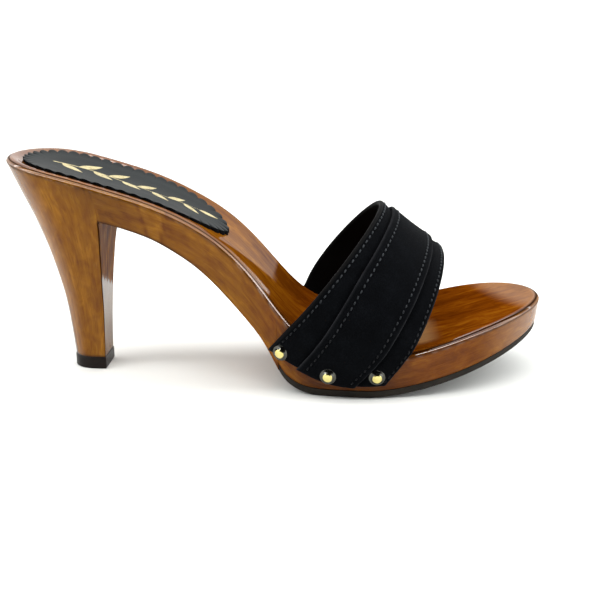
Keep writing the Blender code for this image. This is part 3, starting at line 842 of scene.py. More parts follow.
def strap_form():
    """Inner face of the whole strap and its outward directions, on a fine even grid: hoop rows by columns."""
    hoop = np.concatenate([np.linspace(0, WALL_SHARE, WALL_ROWS), np.linspace(WALL_SHARE, 1, ARCH_ROWS)[1:]])
    grid_hoop, grid_across = np.meshgrid(hoop, np.linspace(0, 1, FORM_COLUMNS), indexing="ij")
    sides = [strap_side(side, grid_across, grid_hoop) for side in half_width]
    rough = np.concatenate([sides[0], sides[1][-2::-1]])
    run = run_along(rough[:, FORM_COLUMNS // 2])
    even = np.linspace(0, run[-1], FORM_ROWS)
    form = columns([line_at(even, run, rough[:, column]) for column in range(FORM_COLUMNS)])
    for _ in range(STRAP_SOFTEN):
        form[1:-1] = (form[:-2] + 2 * form[1:-1] + form[2:]) / 4
    outward = unit(np.cross(np.gradient(form, axis=1), np.gradient(form, axis=0)))
    return form, outward, np.interp(even, run, np.concatenate([hoop, 2 - hoop[-2::-1]]))


FORM, FORM_OUT, FORM_HOOP = strap_form()
FORM_WIDE = np.linalg.norm(np.diff(FORM, axis=1), axis=2).sum(axis=1)
ROWS = np.arange(FORM_ROWS)


def on_form(rows, across, lift):
    """Points above the strap's inner face, at rows of the form and shares across it."""
    column = np.clip(across, 0, 1) * (FORM_COLUMNS - 1)
    left = np.clip(column.astype(int), 0, FORM_COLUMNS - 2)
    part = (column - left)[..., None]
    base = mix((FORM[rows, left], FORM[rows, left + 1]), part)
    out = unit(mix((FORM_OUT[rows, left], FORM_OUT[rows, left + 1]), part))
    return base + out * np.asarray(lift)[..., None], out


def band_edge(which):
    """Rear (1) or front (2) edge of the band across the strap, for every row of the form."""
    table = np.array(BAND_EDGES)
    return np.interp(1 - np.abs(1 - FORM_HOOP), table[:, 0], table[:, which])


def section_loop(rear, front, base, top, steps, inset, dents):
    """Closed line round a folded strip's section, for every row: shares across, heights, and a painted
    highlight along its edges.

    The line runs over the outer face from rear to front, round the front fold, back along the inner face
    and round the rear fold."""
    fold = (top - base) / 2
    span = ((front - rear) * FORM_WIDE)[:, None]
    even = np.linspace(0, 1, steps + 1)
    reach = fold + (span - 2 * fold) * mix((0.5 - 0.5 * np.cos(math.pi * even), even), EVEN_STEPS)
    upper = top - FURROW_DEEP * (bell(reach - inset, FURROW_WIDE) + bell(span - inset - reach, FURROW_WIDE))
    for dent in dents:
        upper = upper - BAND_DENT * bell(reach - (dent * FORM_WIDE)[:, None], BAND_DENT_WIDE)
    turns = np.linspace(QUARTER_TURN, -QUARTER_TURN, FOLD_STEPS + 1)[1:-1]
    round_x = np.broadcast_to(fold * np.cos(turns), (len(span), len(turns)))
    round_z = np.broadcast_to(fold * np.sin(turns), round_x.shape)
    middle = (top + base) / 2
    distance = np.concatenate([reach, span - fold + round_x, reach[:, ::-1], fold - round_x], axis=1)
    height = np.concatenate([upper, middle + round_z, np.full(reach.shape, base), middle - round_z], axis=1)
    edge = np.minimum(distance, span - distance)
    return rear[:, None] + distance / FORM_WIDE[:, None], height, bell(edge, HIGHLIGHT_WIDE)


def strip_patches(rear, front, base, top, steps, inset, dents=()):
    """Tube of a folded strip along the hoop, with softened ends: outside, inside, and the painted highlight
    of both.
    """
    across, height, painted_light = section_loop(rear, front, base, top, steps, inset, dents)
    pinch = np.sqrt(1 - (1 - np.clip(np.minimum(ROWS, ROWS[::-1]) / PINCH_ROWS, 0, 1)) ** 2)
    middle = (top + base) / 2
    height = middle + (height - middle) * (PINCH_LEAST + (1 - PINCH_LEAST) * pinch)[:, None]
    points, _ = on_form(ROWS[:, None], across, height)
    tube = np.concatenate([points, points[:, :1]], axis=1)
    painted_light = np.concatenate([painted_light, painted_light[:, :1]], axis=1)
    front_end = steps + FOLD_STEPS
    rear_start = front_end + steps
    caps = []
    for end in (0, -1):
        face = tube[end, : steps + 1]
        back = tube[end, front_end : rear_start + 1][::-1]
        folds = [fan(tube[end, steps : front_end + 1]), fan(tube[end, rear_start:])]
        caps += [between(face, back, CAP_STEPS), *folds]
    outside_highlight = [painted_light[:, : front_end + 1], *[np.zeros(cap.shape[:2]) for cap in caps]]
    return ([tube[:, : front_end + 1], *caps], [tube[:, front_end:]]), (outside_highlight, [painted_light[:, front_end:]])


def fan(line):
    """Fills the half-round end of a folded edge from its straight side."""
    straight = line[0] + (line[-1] - line[0]) * np.linspace(0, 1, len(line))[:, None]
    return between(line, straight, FAN_STEPS)


def stitch_row(across, height):
    """Thread stitches along the hoop, pulled into the leather: one closed grid for each."""
    lift = height + STITCH_WIDE * STITCH_PROUD - FURROW_DEEP
    path, out = on_form(ROWS, across, np.full(FORM_ROWS, lift))
    run = run_along(path)
    heading = unit(np.gradient(path, axis=0))
    rings = np.linspace(0, math.pi, STITCH_RINGS)[:, None]
    around = np.linspace(0, 2 * math.pi, STITCH_AROUND)[None, :]
    half = np.sin(rings) ** STITCH_ROUND * STITCH_WIDE / 2
    stitches = []
    for number in range(int(run[-1] / STITCH_PITCH - 2)):
        where = STITCH_PITCH * (STITCH_FIRST + number)
        ahead = unit(line_at(where, run, heading))
        up = unit(line_at(where, run, out))
        lean = STITCH_LEAN + STITCH_SWAY * math.sin(number * STITCH_TURN)
        ahead = unit(ahead + np.cross(up, ahead) * lean)
        grid = (
            -np.cos(rings)[..., None] * STITCH_LONG / 2 * ahead
            + (half * np.cos(around))[..., None] * np.cross(up, ahead)
            + (half * np.sin(around))[..., None] * up
            - (np.cos(rings) ** 2 * STITCH_SINK)[..., None] * up
        )
        stitches.append(line_at(where, run, path) + grid)
    return stitches


# Tacks


def tack_profile():
    """Radius and height of points from the middle of a tack's top to the middle of its flat underside."""
    along = np.linspace(0, TACK_SLOPES[-1][0], TACK_POINTS)
    slope = np.radians(read(TACK_SLOPES, along))
    step = np.diff(along)
    middle = (slope[1:] + slope[:-1]) / 2
    radius = np.concatenate([[0], np.cumsum(step * np.cos(middle))])
    fall = np.concatenate([[0], np.cumsum(step * np.sin(middle))])
    points = columns([radius * TACK_RADIUS / radius[-1], fall[-1] - fall])
    return np.concatenate([points, [[0.0, 0.0]]])


def tack_patches(side, x, z, leather):
    """Low domed head seated on the leather, and where its brass is painted dark as a painted reflection."""
    wall, outward = wall_point(side, np.float64(x), np.float64(z), 0.0)
    place = wall + outward * (leather - TACK_SINK)
    across = unit(np.cross(outward, (1.0, 0.0, 0.0)))
    around = np.linspace(0, 2 * math.pi, TACK_ROUND_POINTS)
    ring = np.cos(around)[:, None] * across + np.sin(around)[:, None] * np.cross(outward, across)
    ring[-1] = ring[0]
    profile = tack_profile()
    points = np.stack([place + outward * high + ring * radius for radius, high in profile])
    painted_dark = ease((profile[:, 0] - TACK_DISC) / TACK_DISC_FADE)[:, None] * np.ones(len(around))
    return [points], [painted_dark]


# Meshes


def piece(name, groups, looks, node, painted_light=None):
    """A closed mesh from groups of point grids whose borders meet, with one look for each group.

    It stands in for a node of the frame where one is named. Painted light is a value for each point of the
    grids, which the strap's, pad's and tacks' looks read as a painted edge highlight, painted crease shade
    and painted dark reflection."""
    vertices = []
    faces = []
    look_of_face = []
    for number, patches in enumerate(groups):
        for patch in patches:
            rows, across = patch.shape[:2]
            index = len(vertices) + np.arange(rows * across).reshape(rows, across)
            corners = [index[:-1, :-1], index[:-1, 1:], index[1:, 1:], index[1:, :-1]]
            vertices.extend(map(tuple, patch.reshape(-1, 3) * MM + SHIFT))
            faces.extend(np.stack(corners, axis=-1).reshape(-1, 4).tolist())
            look_of_face += [number] * ((rows - 1) * (across - 1))
    mesh = bpy.data.meshes.new(name)
    mesh.from_pydata(vertices, [], faces)
    for look in looks:
        mesh.materials.append(look)
    mesh.polygons.foreach_set("material_index", look_of_face)
    if painted_light:
        held = mesh.attributes.new("painted_light", "FLOAT", "POINT")
        held.data.foreach_set("value", np.concatenate([grid.ravel() for group in painted_light for grid in group]))
    shape = bmesh.new()
    shape.from_mesh(mesh)
    bmesh.ops.remove_doubles(shape, verts=shape.verts, dist=WELD)
    bmesh.ops.dissolve_degenerate(shape, edges=shape.edges, dist=WELD / 10)
    bmesh.ops.recalc_face_normals(shape, faces=shape.faces)
    shape.to_mesh(mesh)
    shape.free()
    mesh.shade_smooth()
    mesh.set_sharp_from_angle(angle=math.radians(SMOOTH_ANGLE))
    made = bpy.data.objects.new(name, mesh)
    bpy.context.scene.collection.objects.link(made)
    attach(made, BODY)
    if node:
        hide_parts(node)
    return made


# Grain, stain, gloss, figure and painted light and shade of the wood


def wood_places(made):
    """Where each vertex of the wood lies: on footbed, wall or heel, and how far from the edges there."""
    flat = np.empty(len(made.data.vertices) * 3)
    made.data.vertices.foreach_get("co", flat)
    x, y, z = ((flat.reshape(-1, 3) - SHIFT) / MM).T
    x = np.clip(x, 0, SOLE_LENGTH)
    inset, hit = nearest_edge(x, y)
    on_bed = (z > footbed_height(x, y) - BED_NEAR) & (inset > RIM_WIDE / 2)
    on_heel = ~on_bed & (x < HEEL_END - HEEL_NEAR)
    on_wall = ~on_bed & ~on_heel & (inset < wall_lean(x) + WALL_NEAR)
    seat_x = x
    for _ in range(SEAT_ROUNDS):
        tall = edge_height(np.clip(seat_x, 0, HEEL_END)) - EDGE_ROUND - TIP_THICK
        level = np.clip((z - TIP_THICK) / tall, 0, 1)
        seat_x = (x - heel_back(level)) / (heel_breast(level) - heel_back(level)) * HEEL_END
    seat_y = y / heel_half(level) * heel_half(1.0)
    breast = on_heel & (seat_x > HEEL_END - BREAST_NEAR) & (level < SHANK_LEVEL + LEVEL_NEAR)
    ragged = BREAST_LINE[0] + BREAST_LINE[1] * y + BREAST_WAVE[0] * np.sin(BREAST_WAVE[1] * y)
    return SimpleNamespace(
        x=x, y=y, z=z, inset=inset, drop=edge_height(x) - z, edge_run=OUTLINE_RUN[hit],
        on_bed=on_bed, on_heel=on_heel, on_wall=on_wall, seat_x=seat_x, seat_y=seat_y, level=level,
        breast=breast, high_breast=breast * soft(z - ragged, BREAST_FADE),
    )


def wood_grain(at):
    """Millimetres along, across and through the grain, which runs lengthwise on the footbed and under the
    sole, round the edge on the walls, and down the heel block."""
    steps = np.linspace(0, SOLE_LENGTH, GRAIN_STEPS)
    run = run_along(columns([steps, edge_height(steps)]))
    lengthwise = columns([np.interp(at.x, steps, run), at.y, at.drop])
    round_edge = columns([at.edge_run, np.sign(at.y) * WALL_GRAIN_APART, at.drop])
    seat = columns([at.seat_y, at.seat_x]) * HEEL_GRAIN_FINE
    down_heel = np.concatenate([HEEL_GRAIN_START - at.z[:, None], seat], axis=1)
    grain = np.where(at.on_wall[:, None], round_edge, lengthwise)
    return np.where(at.on_heel[:, None], down_heel, grain)


def painted_rim_lines(at):
    """Dark lines painted along the rounded rim as painted dark reflections."""
    out = np.clip((RIM_WIDE - at.inset) / RIM_WIDE, 0, 1)
    turn = np.arcsin(out ** (RIM_POWER / 2)) / QUARTER_TURN * (at.drop < EDGE_ROUND + RIM_NEAR)
    wider = 1 + RIM_LINE_GROWS * ease((at.x - LINE_GROWS_X) / LINE_GROWS_LONG)
    return sum(dark * bell(turn - place, wide * wider) for place, wide, dark in PAINTED_RIM_LINES) * (turn > 0)


def breast_corners(at):
    """Painted shade: dark lines down the corners of the heel's breast."""
    side = np.abs(at.seat_y) > heel_half(1.0) - BREAST_CORNER - BREAST_NEAR
    front = (at.seat_x > HEEL_END - CORNER_LINE) & (at.level < SHANK_LEVEL)
    return EDGE_LINE_SHADE * (at.on_heel & front & side)


def wood_shade(at):
    """The dark joint line, a darker lower breast, and painted shade at the foot, below the seat, round the
    joint and under the strap.
    """
    joint = JOINT_DARK * bell(at.x - HEEL_END, JOINT_WIDE) * ~at.on_bed * (at.inset < RIM_WIDE * 2)
    foot_z = np.where(at.on_wall, wood_bottom(at.x), TIP_THICK)
    foot = EDGE_LINE_SHADE * (at.on_wall | at.on_heel) * ease((FOOT_HIGH + foot_z - at.z) / FOOT_HIGH)
    low_breast = BREAST_LOW_DARK * at.breast * (1 - at.high_breast)
    under = UNDER_STRAP * plateau(at.x, UNDER_STRAP_X) * at.on_wall * (at.drop > EDGE_ROUND)
    depth = np.maximum(at.drop - EDGE_ROUND, 0)
    seat = SEAT_SHADE * ease((SEAT_SHADE_END - at.x) / SEAT_SHADE_FADE) * np.exp(-depth / SEAT_SHADE_HIGH)
    seat += JOINT_SHADE * bell(at.x - HEEL_END, JOINT_SHADE_WIDE) * np.exp(-depth / JOINT_SHADE_HIGH)
    return np.maximum.reduce([joint, foot, low_breast, under, seat * ~at.on_bed * (depth > 0)])


def toe_end(at):
    """The footbed past a slanting line at the toe."""
    return soft(at.x - TOE_GLOSS_X - TOE_GLOSS_SLOPE * at.y, TOE_GLOSS_FADE)


def bed_gloss(at):
    """How much gloss the footbed's lacquer shows, and its dull wedge."""
    low, high = [start + slope * (at.x - WEDGE_X) for start, slope in zip(WEDGE_Y, WEDGE_SLOPE)]
    wedge = soft(at.y - low, WEDGE_FADE) * soft(high - at.y, WEDGE_FADE)
    shank = read(SHANK_GLOSS, at.x)
    shank = np.where(at.y < low, np.maximum(shank, BAND_GLOSS), shank)
    rear = shank * soft(BALL_GLOSS_END - at.x, BALL_GLOSS_FADE) * (1 - wedge)
    return np.maximum(rear, TOE_BED_GLOSS * toe_end(at)), wedge * (at.x < BALL_GLOSS_END)


def wood_gloss(at):
    """Weight of the lacquer's coat."""
    rim = np.where(at.on_bed & (at.inset > RIM_WIDE), bed_gloss(at)[0], read(RIM_GLOSS, at.x))
    toe = ease((at.x - TOE_GLOSS) / (SOLE_LENGTH - TOE_GLOSS))
    ends = np.where(at.on_heel, ease(1 - at.seat_x / REAR_GLOSS), toe)
    low_breast = mix(BREAST_GLOSS[:2], np.clip(at.z / BREAST_LINE[0], 0, 1))
    breast = mix((low_breast, BREAST_GLOSS[2]), at.high_breast)
    wall = np.where(at.breast, breast, mix((WALL_GLOSS, END_GLOSS), ends))
    return np.where(at.on_bed | (at.drop < EDGE_ROUND), rim, wall)


def shank_figure(at):
    """A paler figure in the shank's outer side, with a darker line at each end."""
    start, end = [place + lean * at.drop for place, lean in FIGURE_ENDS]
    inside = ease((at.x - start) / FIGURE_SOFT) * ease((end - at.x) / FIGURE_SOFT)
    lines = bell(at.x - start, FIGURE_LINE) + bell(at.x - end, FIGURE_LINE)
    return (FIGURE_PALE * inside - FIGURE_DARK * lines) * at.on_wall * (at.y < 0)


def wood_tone(at):
    """What is added to the grain's tone: on the footbed, painted shade behind the strap, a darker wedge and a
    paler toe's end; on the shank; and streaks high on the breast, which are three waves of different spacing,
    bent along the height."""
    # The ball's share marks painted shade on the footbed just behind the strap.
    ball_start, ball_end = BALL_PAINTED_SHADE_X
    ball = soft(at.x - BALL_GLOSS_END, BALL_GLOSS_FADE) * ease((ball_end - at.x) / (ball_end - ball_start))
    wedge = bed_gloss(at)[1] * (at.inset > RIM_WIDE)
    bed = TOE_BED_PALE * toe_end(at) - BALL_PAINTED_SHADE * ball - WEDGE_DEEP * wedge
    y, z = at.y, at.z
    streaks = np.sin(0.66 * y + np.sin(z / 6)) + np.sin(1.5 * y + z / 7) + np.sin(0.4 * y - z / 3)
    return np.where(at.on_bed, bed, shank_figure(at)) + BREAST_STREAK * at.high_breast * streaks


def store(made, name, *values):
    """Keeps a vector for each vertex, for the piece's material."""
    held = made.data.attributes.new(name, "FLOAT_VECTOR", "POINT")
    held.data.foreach_set("vector", np.ascontiguousarray(columns(values), np.float32).ravel())


def finish_wood(made):
    """Gives the wood's vertices what its material reads.

    Grain is a place in the grain. Stain, shade and coat are the stain from the sides' colour to the
    footbed's, the dark joint line with the painted shade and painted dark reflection lines, and the coat's
    weight. Figure and painted light is what is added to the tone, painted shade included, and the painted
    pale reflection."""
    at = wood_places(made)
    # Painted dark reflection lines on the rim and painted shade on the breast's corners; the coat is left off
    # both.
    rim = painted_rim_lines(at)
    corners = breast_corners(at)
    # On the upper breast the stain is painted shade.
    wall_stain = np.where(at.on_heel, at.high_breast * BREAST_SHADE_STAIN, WALL_STAIN * plateau(at.x, WALL_STAIN_X))
    stain = np.where(at.on_bed, read(BED_STAIN, at.x), wall_stain)
    dark = np.maximum.reduce([rim, corners, wood_shade(at)])
    coat = wood_gloss(at) * (1 - np.clip(rim, 0, 1)) * (corners == 0)
    # A painted pale reflection on the footbed in front of the strap and at the toe's end.
    painted_reflection = PAINTED_REFLECTION_PALE * plateau(at.x, PAINTED_REFLECTION_X) * plateau(at.y, PAINTED_REFLECTION_Y) + TOE_PAINTED_REFLECTION * toe_end(at)
    store(made, "grain", *wood_grain(at).T)
    store(made, "stain_shade_and_coat", stain, dark, coat)
    store(made, "figure_and_painted_light", wood_tone(at), painted_reflection * at.on_bed, 0 * at.x)


# Materials


class Graph:
    """A node tree, with a short call for each kind of node that the looks and the light use."""

    def __init__(self, tree):
        self.tree = tree

    def join(self, value, socket):
        """Gives a socket a value, or links another node's output to it."""
        if isinstance(value, bpy.types.NodeSocket):
            self.tree.links.new(value, socket)
        else:
            socket.default_value = value

    def add(self, kind, inputs=(), **settings):
        """Outputs of a new node with these settings and inputs, each a value or another node's output."""
        made = self.tree.nodes.new(kind)
        for key, value in settings.items():
            setattr(made, key, value)
        for socket, value in dict(inputs).items():
            self.join(value, made.inputs[socket])
        return made.outputs

    def split(self, vector):
        return self.add("ShaderNodeSeparateXYZ", {0: vector})

    def work(self, how, first, second=0.0):
        return self.add("ShaderNodeMath", {0: first, 1: second}, operation=how)[0]

    def times(self, first, second):
        return self.work("MULTIPLY", first, second)

    def plus(self, first, second):
        return self.work("ADD", first, second)

    def spread(self, value, low, high, to_low=0.0, to_high=1.0):
        values = {"Value": value, "From Min": low, "From Max": high, "To Min": to_low, "To Max": to_high}
        return self.add("ShaderNodeMapRange", values)["Result"]

    def ramp(self, factor, stops):
        """Colours at places between 0 and 1."""
        made = self.tree.nodes.new("ShaderNodeValToRGB")
        self.join(factor, made.inputs["Fac"])
        elements = made.color_ramp.elements
        while len(elements) < len(stops):
            elements.new(0.5)
        for element, (place, colour) in zip(elements, stops):
            element.position = place
            element.color = (*colour, 1.0)
        return made.outputs["Color"]


class Look(Graph):
    """A material: its shader's constant values, and nodes for what varies over the surface."""

    def __init__(self, name, constants):
        self.material = bpy.data.materials.new(name)
        self.material.use_nodes = True
        super().__init__(self.material.node_tree)
        self.sockets = self.tree.nodes["Principled BSDF"].inputs
        for socket, value in constants.items():
            self.sockets[socket].default_value = value
        self.place = self.add("ShaderNodeTexCoord")["Object"]

    def attribute(self, name, output="Fac"):
        return self.add("ShaderNodeAttribute", attribute_name=name)[output]

    def stretched(self, vector, scales):
        return self.add("ShaderNodeVectorMath", {0: vector, 1: scales}, operation="MULTIPLY")[0]

    def noise(self, scale, detail, roughness=0.55, distortion=0.0, vector=None):
        vector = self.place if vector is None else vector
        values = {"Scale": scale, "Detail": detail, "Roughness": roughness, "Distortion": distortion}
        return self.add("ShaderNodeTexNoise", {"Vector": vector, **values})["Fac"]

    def cells(self, scale):
        return self.add("ShaderNodeTexVoronoi", {"Vector": self.place, "Scale": scale})["Distance"]

    def even(self, noise, to_low=0.0, to_high=1.0):
        """A noise's usual range, spread over another."""
        return self.spread(noise, *NOISE_RANGE, to_low, to_high)

    def colour(self, noise, *colours):
        """Colours from a noise's low values to its high ones, at even steps."""
        return self.ramp(self.even(noise), [(i / (len(colours) - 1), c) for i, c in enumerate(colours)])

    def blend(self, factor, first, second):
        return self.add("ShaderNodeMix", {0: factor, 6: first, 7: second}, data_type="RGBA")[2]

    def bump(self, height, depth, strength=1.0):
        values = {"Height": height, "Distance": depth, "Strength": strength}
        return self.add("ShaderNodeBump", values)["Normal"]

    def shade(self, colour, rough, relief=None):
        """Links what varies to the shader, and gives the finished material."""
        self.join(colour, self.sockets["Base Color"])
        self.join(rough, self.sockets["Roughness"])
        if relief is not None:
            self.join(relief, self.sockets["Normal"])
        return self.material


def wood_look():
    """Brown-stained wood under glossy lacquer, redder on the footbed."""
    look = Look("lacquered_wood", {"Specular IOR Level": 0.0, "Coat Roughness": 0.05, "Coat IOR": 2.2})
    grain, stain_shade_and_coat, figure_and_painted_light = [look.attribute(name, "Vector") for name in ("grain", "stain_shade_and_coat", "figure_and_painted_light")]
    stain, dark, coat = look.split(stain_shade_and_coat)
    added, painted_reflection, _ = look.split(figure_and_painted_light)
    layer = {}
    for name, (along, across, *quality) in GRAIN_LAYERS.items():
        layer[name] = look.noise(1.0, *quality, vector=look.stretched(grain, (along, across, across)))
    tone = 0.0
    for name, weight in TONE_WEIGHTS.items():
        tone = look.plus(look.times(layer[name], weight), tone)
    tone = look.plus(look.spread(tone, *TONE_RANGE), added)
    colour = look.blend(stain, look.ramp(tone, WOOD_SIDE), look.ramp(tone, WOOD_BED))
    # The pale colour mixed in here is a painted reflection.
    colour = look.blend(painted_reflection, colour, WOOD_PAINTED_REFLECTION)
    pores = look.times(look.spread(layer["pore"], *PORE_RANGE), PORE_DARK)
    # Dark here holds the joint line, the painted shade and the painted dark reflection lines of the rim.
    colour = look.blend(dark, look.blend(pores, colour, WOOD_PORE), WOOD_DARK_AND_SHADE)
    ripple = look.noise(scale=55.0, detail=2.0, roughness=0.5)
    ripple = look.plus(ripple, look.times(layer["streak"], COAT_STREAK))
    look.join(coat, look.sockets["Coat Weight"])
    look.join(look.bump(ripple, depth=0.0003), look.sockets["Coat Normal"])
    return look.shade(colour, look.even(layer["streak"], 0.52, 0.38), look.bump(layer["fine"], depth=0.00002))


def nubuck_look():
    """Black leather with a short nap that catches a little light, and a painted highlight along its folded
    edges.
    """
    sheen = {"Sheen Weight": 0.009, "Sheen Roughness": 0.5, "Sheen Tint": (0.8, 0.9, 1.0, 1.0)}
    look = Look("nubuck", {"Specular IOR Level": 0.03, **sheen})
    patchy = look.noise(scale=130.0, detail=5.0, roughness=0.65)
    nap = look.noise(scale=1900.0, detail=3.0, roughness=0.7)
    black = look.colour(look.plus(look.times(patchy, 0.5), look.times(nap, 0.5)), *NUBUCK_BLACK)
    edge_highlight = look.times(look.attribute("painted_light"), look.even(patchy, 0.35, 0.9))
    relief = look.bump(nap, depth=0.00016, strength=0.9)
    return look.shade(look.blend(edge_highlight, black, NUBUCK_EDGE_HIGHLIGHT), look.even(patchy, 0.82, 0.95), relief)


def lining_look():
    """Thin smooth black lining inside the strap."""
    look = Look("strap_lining", {"Specular IOR Level": 0.05})
    tone = look.noise(scale=70.0, detail=3.0)
    black = look.colour(tone, (0.0008, 0.0008, 0.001), (0.0028, 0.0028, 0.0032))
    relief = look.bump(look.cells(scale=1400.0), depth=0.00005, strength=0.5)
    return look.shade(black, look.even(tone, 0.5, 0.7), relief)


def pad_look():
    """Smooth black leather with a soft sheen, duller in its creases, which are darkened as painted shade."""
    look = Look("pad_leather", {"Specular IOR Level": 0.05})
    tone = look.noise(scale=60.0, detail=4.0)
    crease = look.attribute("painted_light")
    black = look.colour(tone, (0.008, 0.010, 0.010), (0.018, 0.022, 0.023))
    rough = look.plus(look.even(tone, 0.34, 0.44), look.times(crease, 0.3))
    relief = look.bump(look.cells(scale=1100.0), depth=0.00004, strength=0.5)
    return look.shade(look.blend(crease, black, PAD_CREASE_SHADE), rough, relief)


def cut_look():
    """Raw black cut edge of the pad's leather."""
    look = Look("pad_cut_edge", {"Specular IOR Level": 0.03})
    fibre = look.noise(scale=1500.0, detail=4.0, roughness=0.7)
    black = look.colour(fibre, (0.0008, 0.0008, 0.001), (0.005, 0.005, 0.006))
    return look.shade(black, look.even(fibre, 0.8, 0.95), look.bump(fibre, depth=0.0001, strength=0.6))


def rubber_look(name, dark, light, rough):
    """Matt dark rubber."""
    look = Look(name, {"Specular IOR Level": 0.14})
    tone = look.noise(scale=120.0, detail=5.0, roughness=0.6)
    relief = look.bump(look.noise(scale=1800.0, detail=2.0), depth=0.00006, strength=0.6)
    return look.shade(look.colour(tone, dark, light), look.even(tone, *rough), relief)


def thread_look():
    """Black waxed thread, paler higher up towards the crest of the strap as painted light."""
    look = Look("thread", {"Specular IOR Level": 0.1})
    tone = look.noise(scale=400.0, detail=2.0)
    lit_share = look.spread(look.split(look.place)["Z"], *THREAD_LIT_HEIGHTS)
    black = look.colour(tone, (0.0026, 0.0028, 0.0036), (0.0075, 0.008, 0.0095))
    twist = look.add("ShaderNodeTexWave", {"Vector": look.place, "Scale": 900.0, "Distortion": 1.0})["Fac"]
    relief = look.bump(twist, depth=0.00005, strength=0.5)
    return look.shade(look.blend(lit_share, black, THREAD_PAINTED_LIGHT), look.even(tone, 0.35, 0.5), relief)


def brass_look():
    """Polished brass with a few faint scratches, painted dark outside its middle disc as a painted dark
    reflection.
    """
    look = Look("brass", {"Metallic": 1.0})
    yellow = look.colour(look.noise(scale=260.0, detail=3.0), (0.60, 0.51, 0.17), (0.78, 0.69, 0.29))
    scratch = look.noise(1.0, detail=2.0, vector=look.stretched(look.place, (3000.0, 260.0, 900.0)))
    return look.shade(look.blend(look.attribute("painted_light"), yellow, BRASS_PAINTED_DARK), look.even(scratch, 0.06, 0.16))


def gilt_look():
    """Gold foil pressed on leather."""
    look = Look("gilt", {"Metallic": 0.3, "Specular IOR Level": 0.5})
    tone = look.noise(scale=500.0, detail=4.0, roughness=0.65)
    gold = look.colour(tone, (0.42, 0.34, 0.13), (0.56, 0.47, 0.22), (0.68, 0.60, 0.33))
    return look.shade(gold, look.even(tone, 0.25, 0.42))


def floor_look():
    """Plain pale studio floor."""
    look = Look("studio_floor", {"Specular IOR Level": 0.1})
    tone = look.noise(scale=3.0, detail=3.0)
    pale = look.ramp(tone, ((0.0, (0.86, 0.88, 0.86)), (1.0, (0.88, 0.90, 0.88))))
    return look.shade(pale, look.even(tone, 0.7, 0.8))


# Studio


def add_camera():
    yaw, pitch = math.radians(CAMERA_YAW), math.radians(CAMERA_PITCH)
    ahead = Vector((-math.sin(yaw) * math.cos(pitch), math.cos(yaw) * math.cos(pitch), -math.sin(pitch)))
    right = Vector((math.cos(yaw), math.sin(yaw), 0.0))
    data = bpy.data.cameras.new("camera")
    data.lens = CAMERA_LENS
    data.sensor_width = CAMERA_SENSOR
    camera = bpy.data.objects.new("camera", data)
    turn = Matrix((right, right.cross(ahead), -ahead)).transposed().to_4x4()
    camera.matrix_world = Matrix.Translation(Vector(np.array(CAMERA_PLACE) * MM + SHIFT)) @ turn
    bpy.context.scene.collection.objects.link(camera)
    bpy.context.scene.camera = camera


def add_world():
    """Softbox strips overhead, a white backdrop, pale sides, and a dark room in front."""
    world = bpy.data.worlds.new("studio")
    world.use_nodes = True
    sky = Graph(world.node_tree)
    x, y, z = sky.split(sky.add("ShaderNodeTexCoord")["Generated"])
    over = sky.times(sky.work("ARCTAN2", z, sky.times(y, -1.0)), 180 / math.pi)
    light = sky.times(sky.spread(over, *BACKDROP_RISE), BACKDROP_LIGHT)
    for rise, power in SIDE_LIGHTS:
        light = sky.work("MAXIMUM", light, sky.times(sky.spread(x, *rise), power))
    ends = sky.spread(sky.work("ABSOLUTE", x), *STRIP_ENDS)
    for rise_from, rise_to, fall_from, fall_to, power in STRIPS:
        strip = sky.times(sky.spread(over, rise_from, rise_to), sky.spread(over, fall_to, fall_from))
        light = sky.plus(light, sky.times(sky.times(strip, ends), power))
    background = world.node_tree.nodes["Background"].inputs
    sky.join(sky.plus(light, ROOM_LIGHT), background["Strength"])
    sky.join(sky.ramp(sky.spread(z, 0.0, 1.0), SKY_TINT), background["Color"])
    bpy.context.scene.world = world


def add_floor():
    mesh = bpy.data.meshes.new("floor")
    corners = [(x * FLOOR_REACH, y * FLOOR_REACH, 0) for x, y in ((-1, -1), (1, -1), (1, 1), (-1, 1))]
    mesh.from_pydata(corners, [], [(0, 1, 2, 3)])
    mesh.materials.append(floor_look())
    floor = bpy.data.objects.new("floor", mesh)
    bpy.context.scene.collection.objects.link(floor)


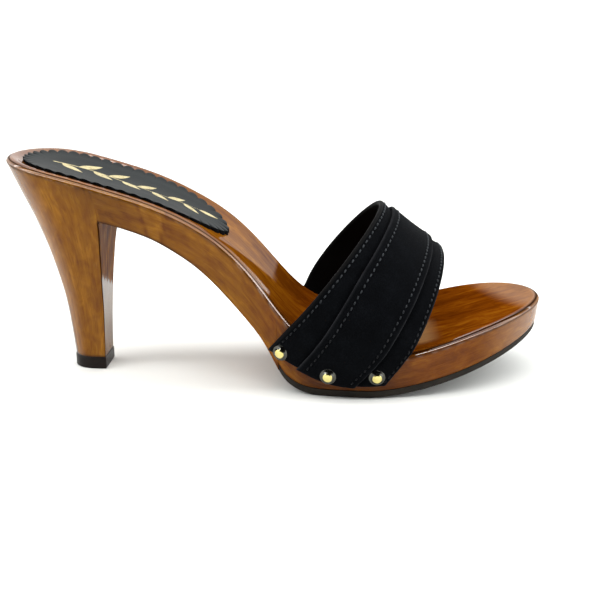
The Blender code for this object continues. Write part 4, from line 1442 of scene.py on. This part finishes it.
# The shoe

NUBUCK = nubuck_look()
BRASS = brass_look()

finish_wood(piece("sole_and_heel", [sole_patches()], [wood_look()], "wooden_sole"))
sole_rubber = rubber_look("sole_rubber", *SOLE_RUBBER)
piece("rubber_outsole", [outsole_patches()], [sole_rubber], "forefoot_outsole")
tip_rubber = rubber_look("tip_rubber", *TIP_RUBBER)
piece("rubber_heel_tip", [heel_tip_patches()], [tip_rubber], "heel_tip")
pad, pad_crease = pad_patches()
piece("heel_pad", pad, [pad_look(), cut_look()], "insole_pad", pad_crease)
piece("pad_sprig", [sprig_patches()], [gilt_look()], None)

strap_rear, strap_front = np.zeros(FORM_ROWS), np.ones(FORM_ROWS)
band_rear, band_front = band_edge(1), band_edge(2)
strap, strap_highlight = strip_patches(
    strap_rear, strap_front, 0.0, STRAP_THICK, STRAP_STEPS, STRAP_INSET, (band_rear, band_front)
)
piece("strap", strap, [NUBUCK, lining_look()], "upper_strap", strap_highlight)
band, band_highlight = strip_patches(band_rear, band_front, BAND_BASE, BAND_TOP, BAND_STEPS, BAND_INSET)
piece("strap_band", band, [NUBUCK, NUBUCK], "upper_band", band_highlight)
stitches = []
for edge_line, inset, height in (
    (strap_rear, STRAP_INSET, STRAP_THICK),
    (strap_front, -STRAP_INSET, STRAP_THICK),
    (band_rear, BAND_INSET, BAND_TOP),
    (band_front, -BAND_INSET, BAND_TOP),
):
    stitches += stitch_row(edge_line + inset / FORM_WIDE, height)
piece("strap_stitches", [stitches], [thread_look()], None)

for tack_side, side_name, shift in (
    (LATERAL_SIDE, "lateral", 0.0),
    (MEDIAL_SIDE, "medial", TACK_MEDIAL_SHIFT),
):
    for tack_name, tack_x, tack_z, leather in TACKS:
        head, painted_dark = tack_patches(tack_side, tack_x + shift, tack_z, leather)
        tack = f"{side_name}_{tack_name}"
        piece(f"tack_head_{tack}", [head], [BRASS], f"tack_{tack}", [painted_dark])

add_floor()
add_world()
add_camera()
bpy.context.scene.view_settings.view_transform = "Standard"
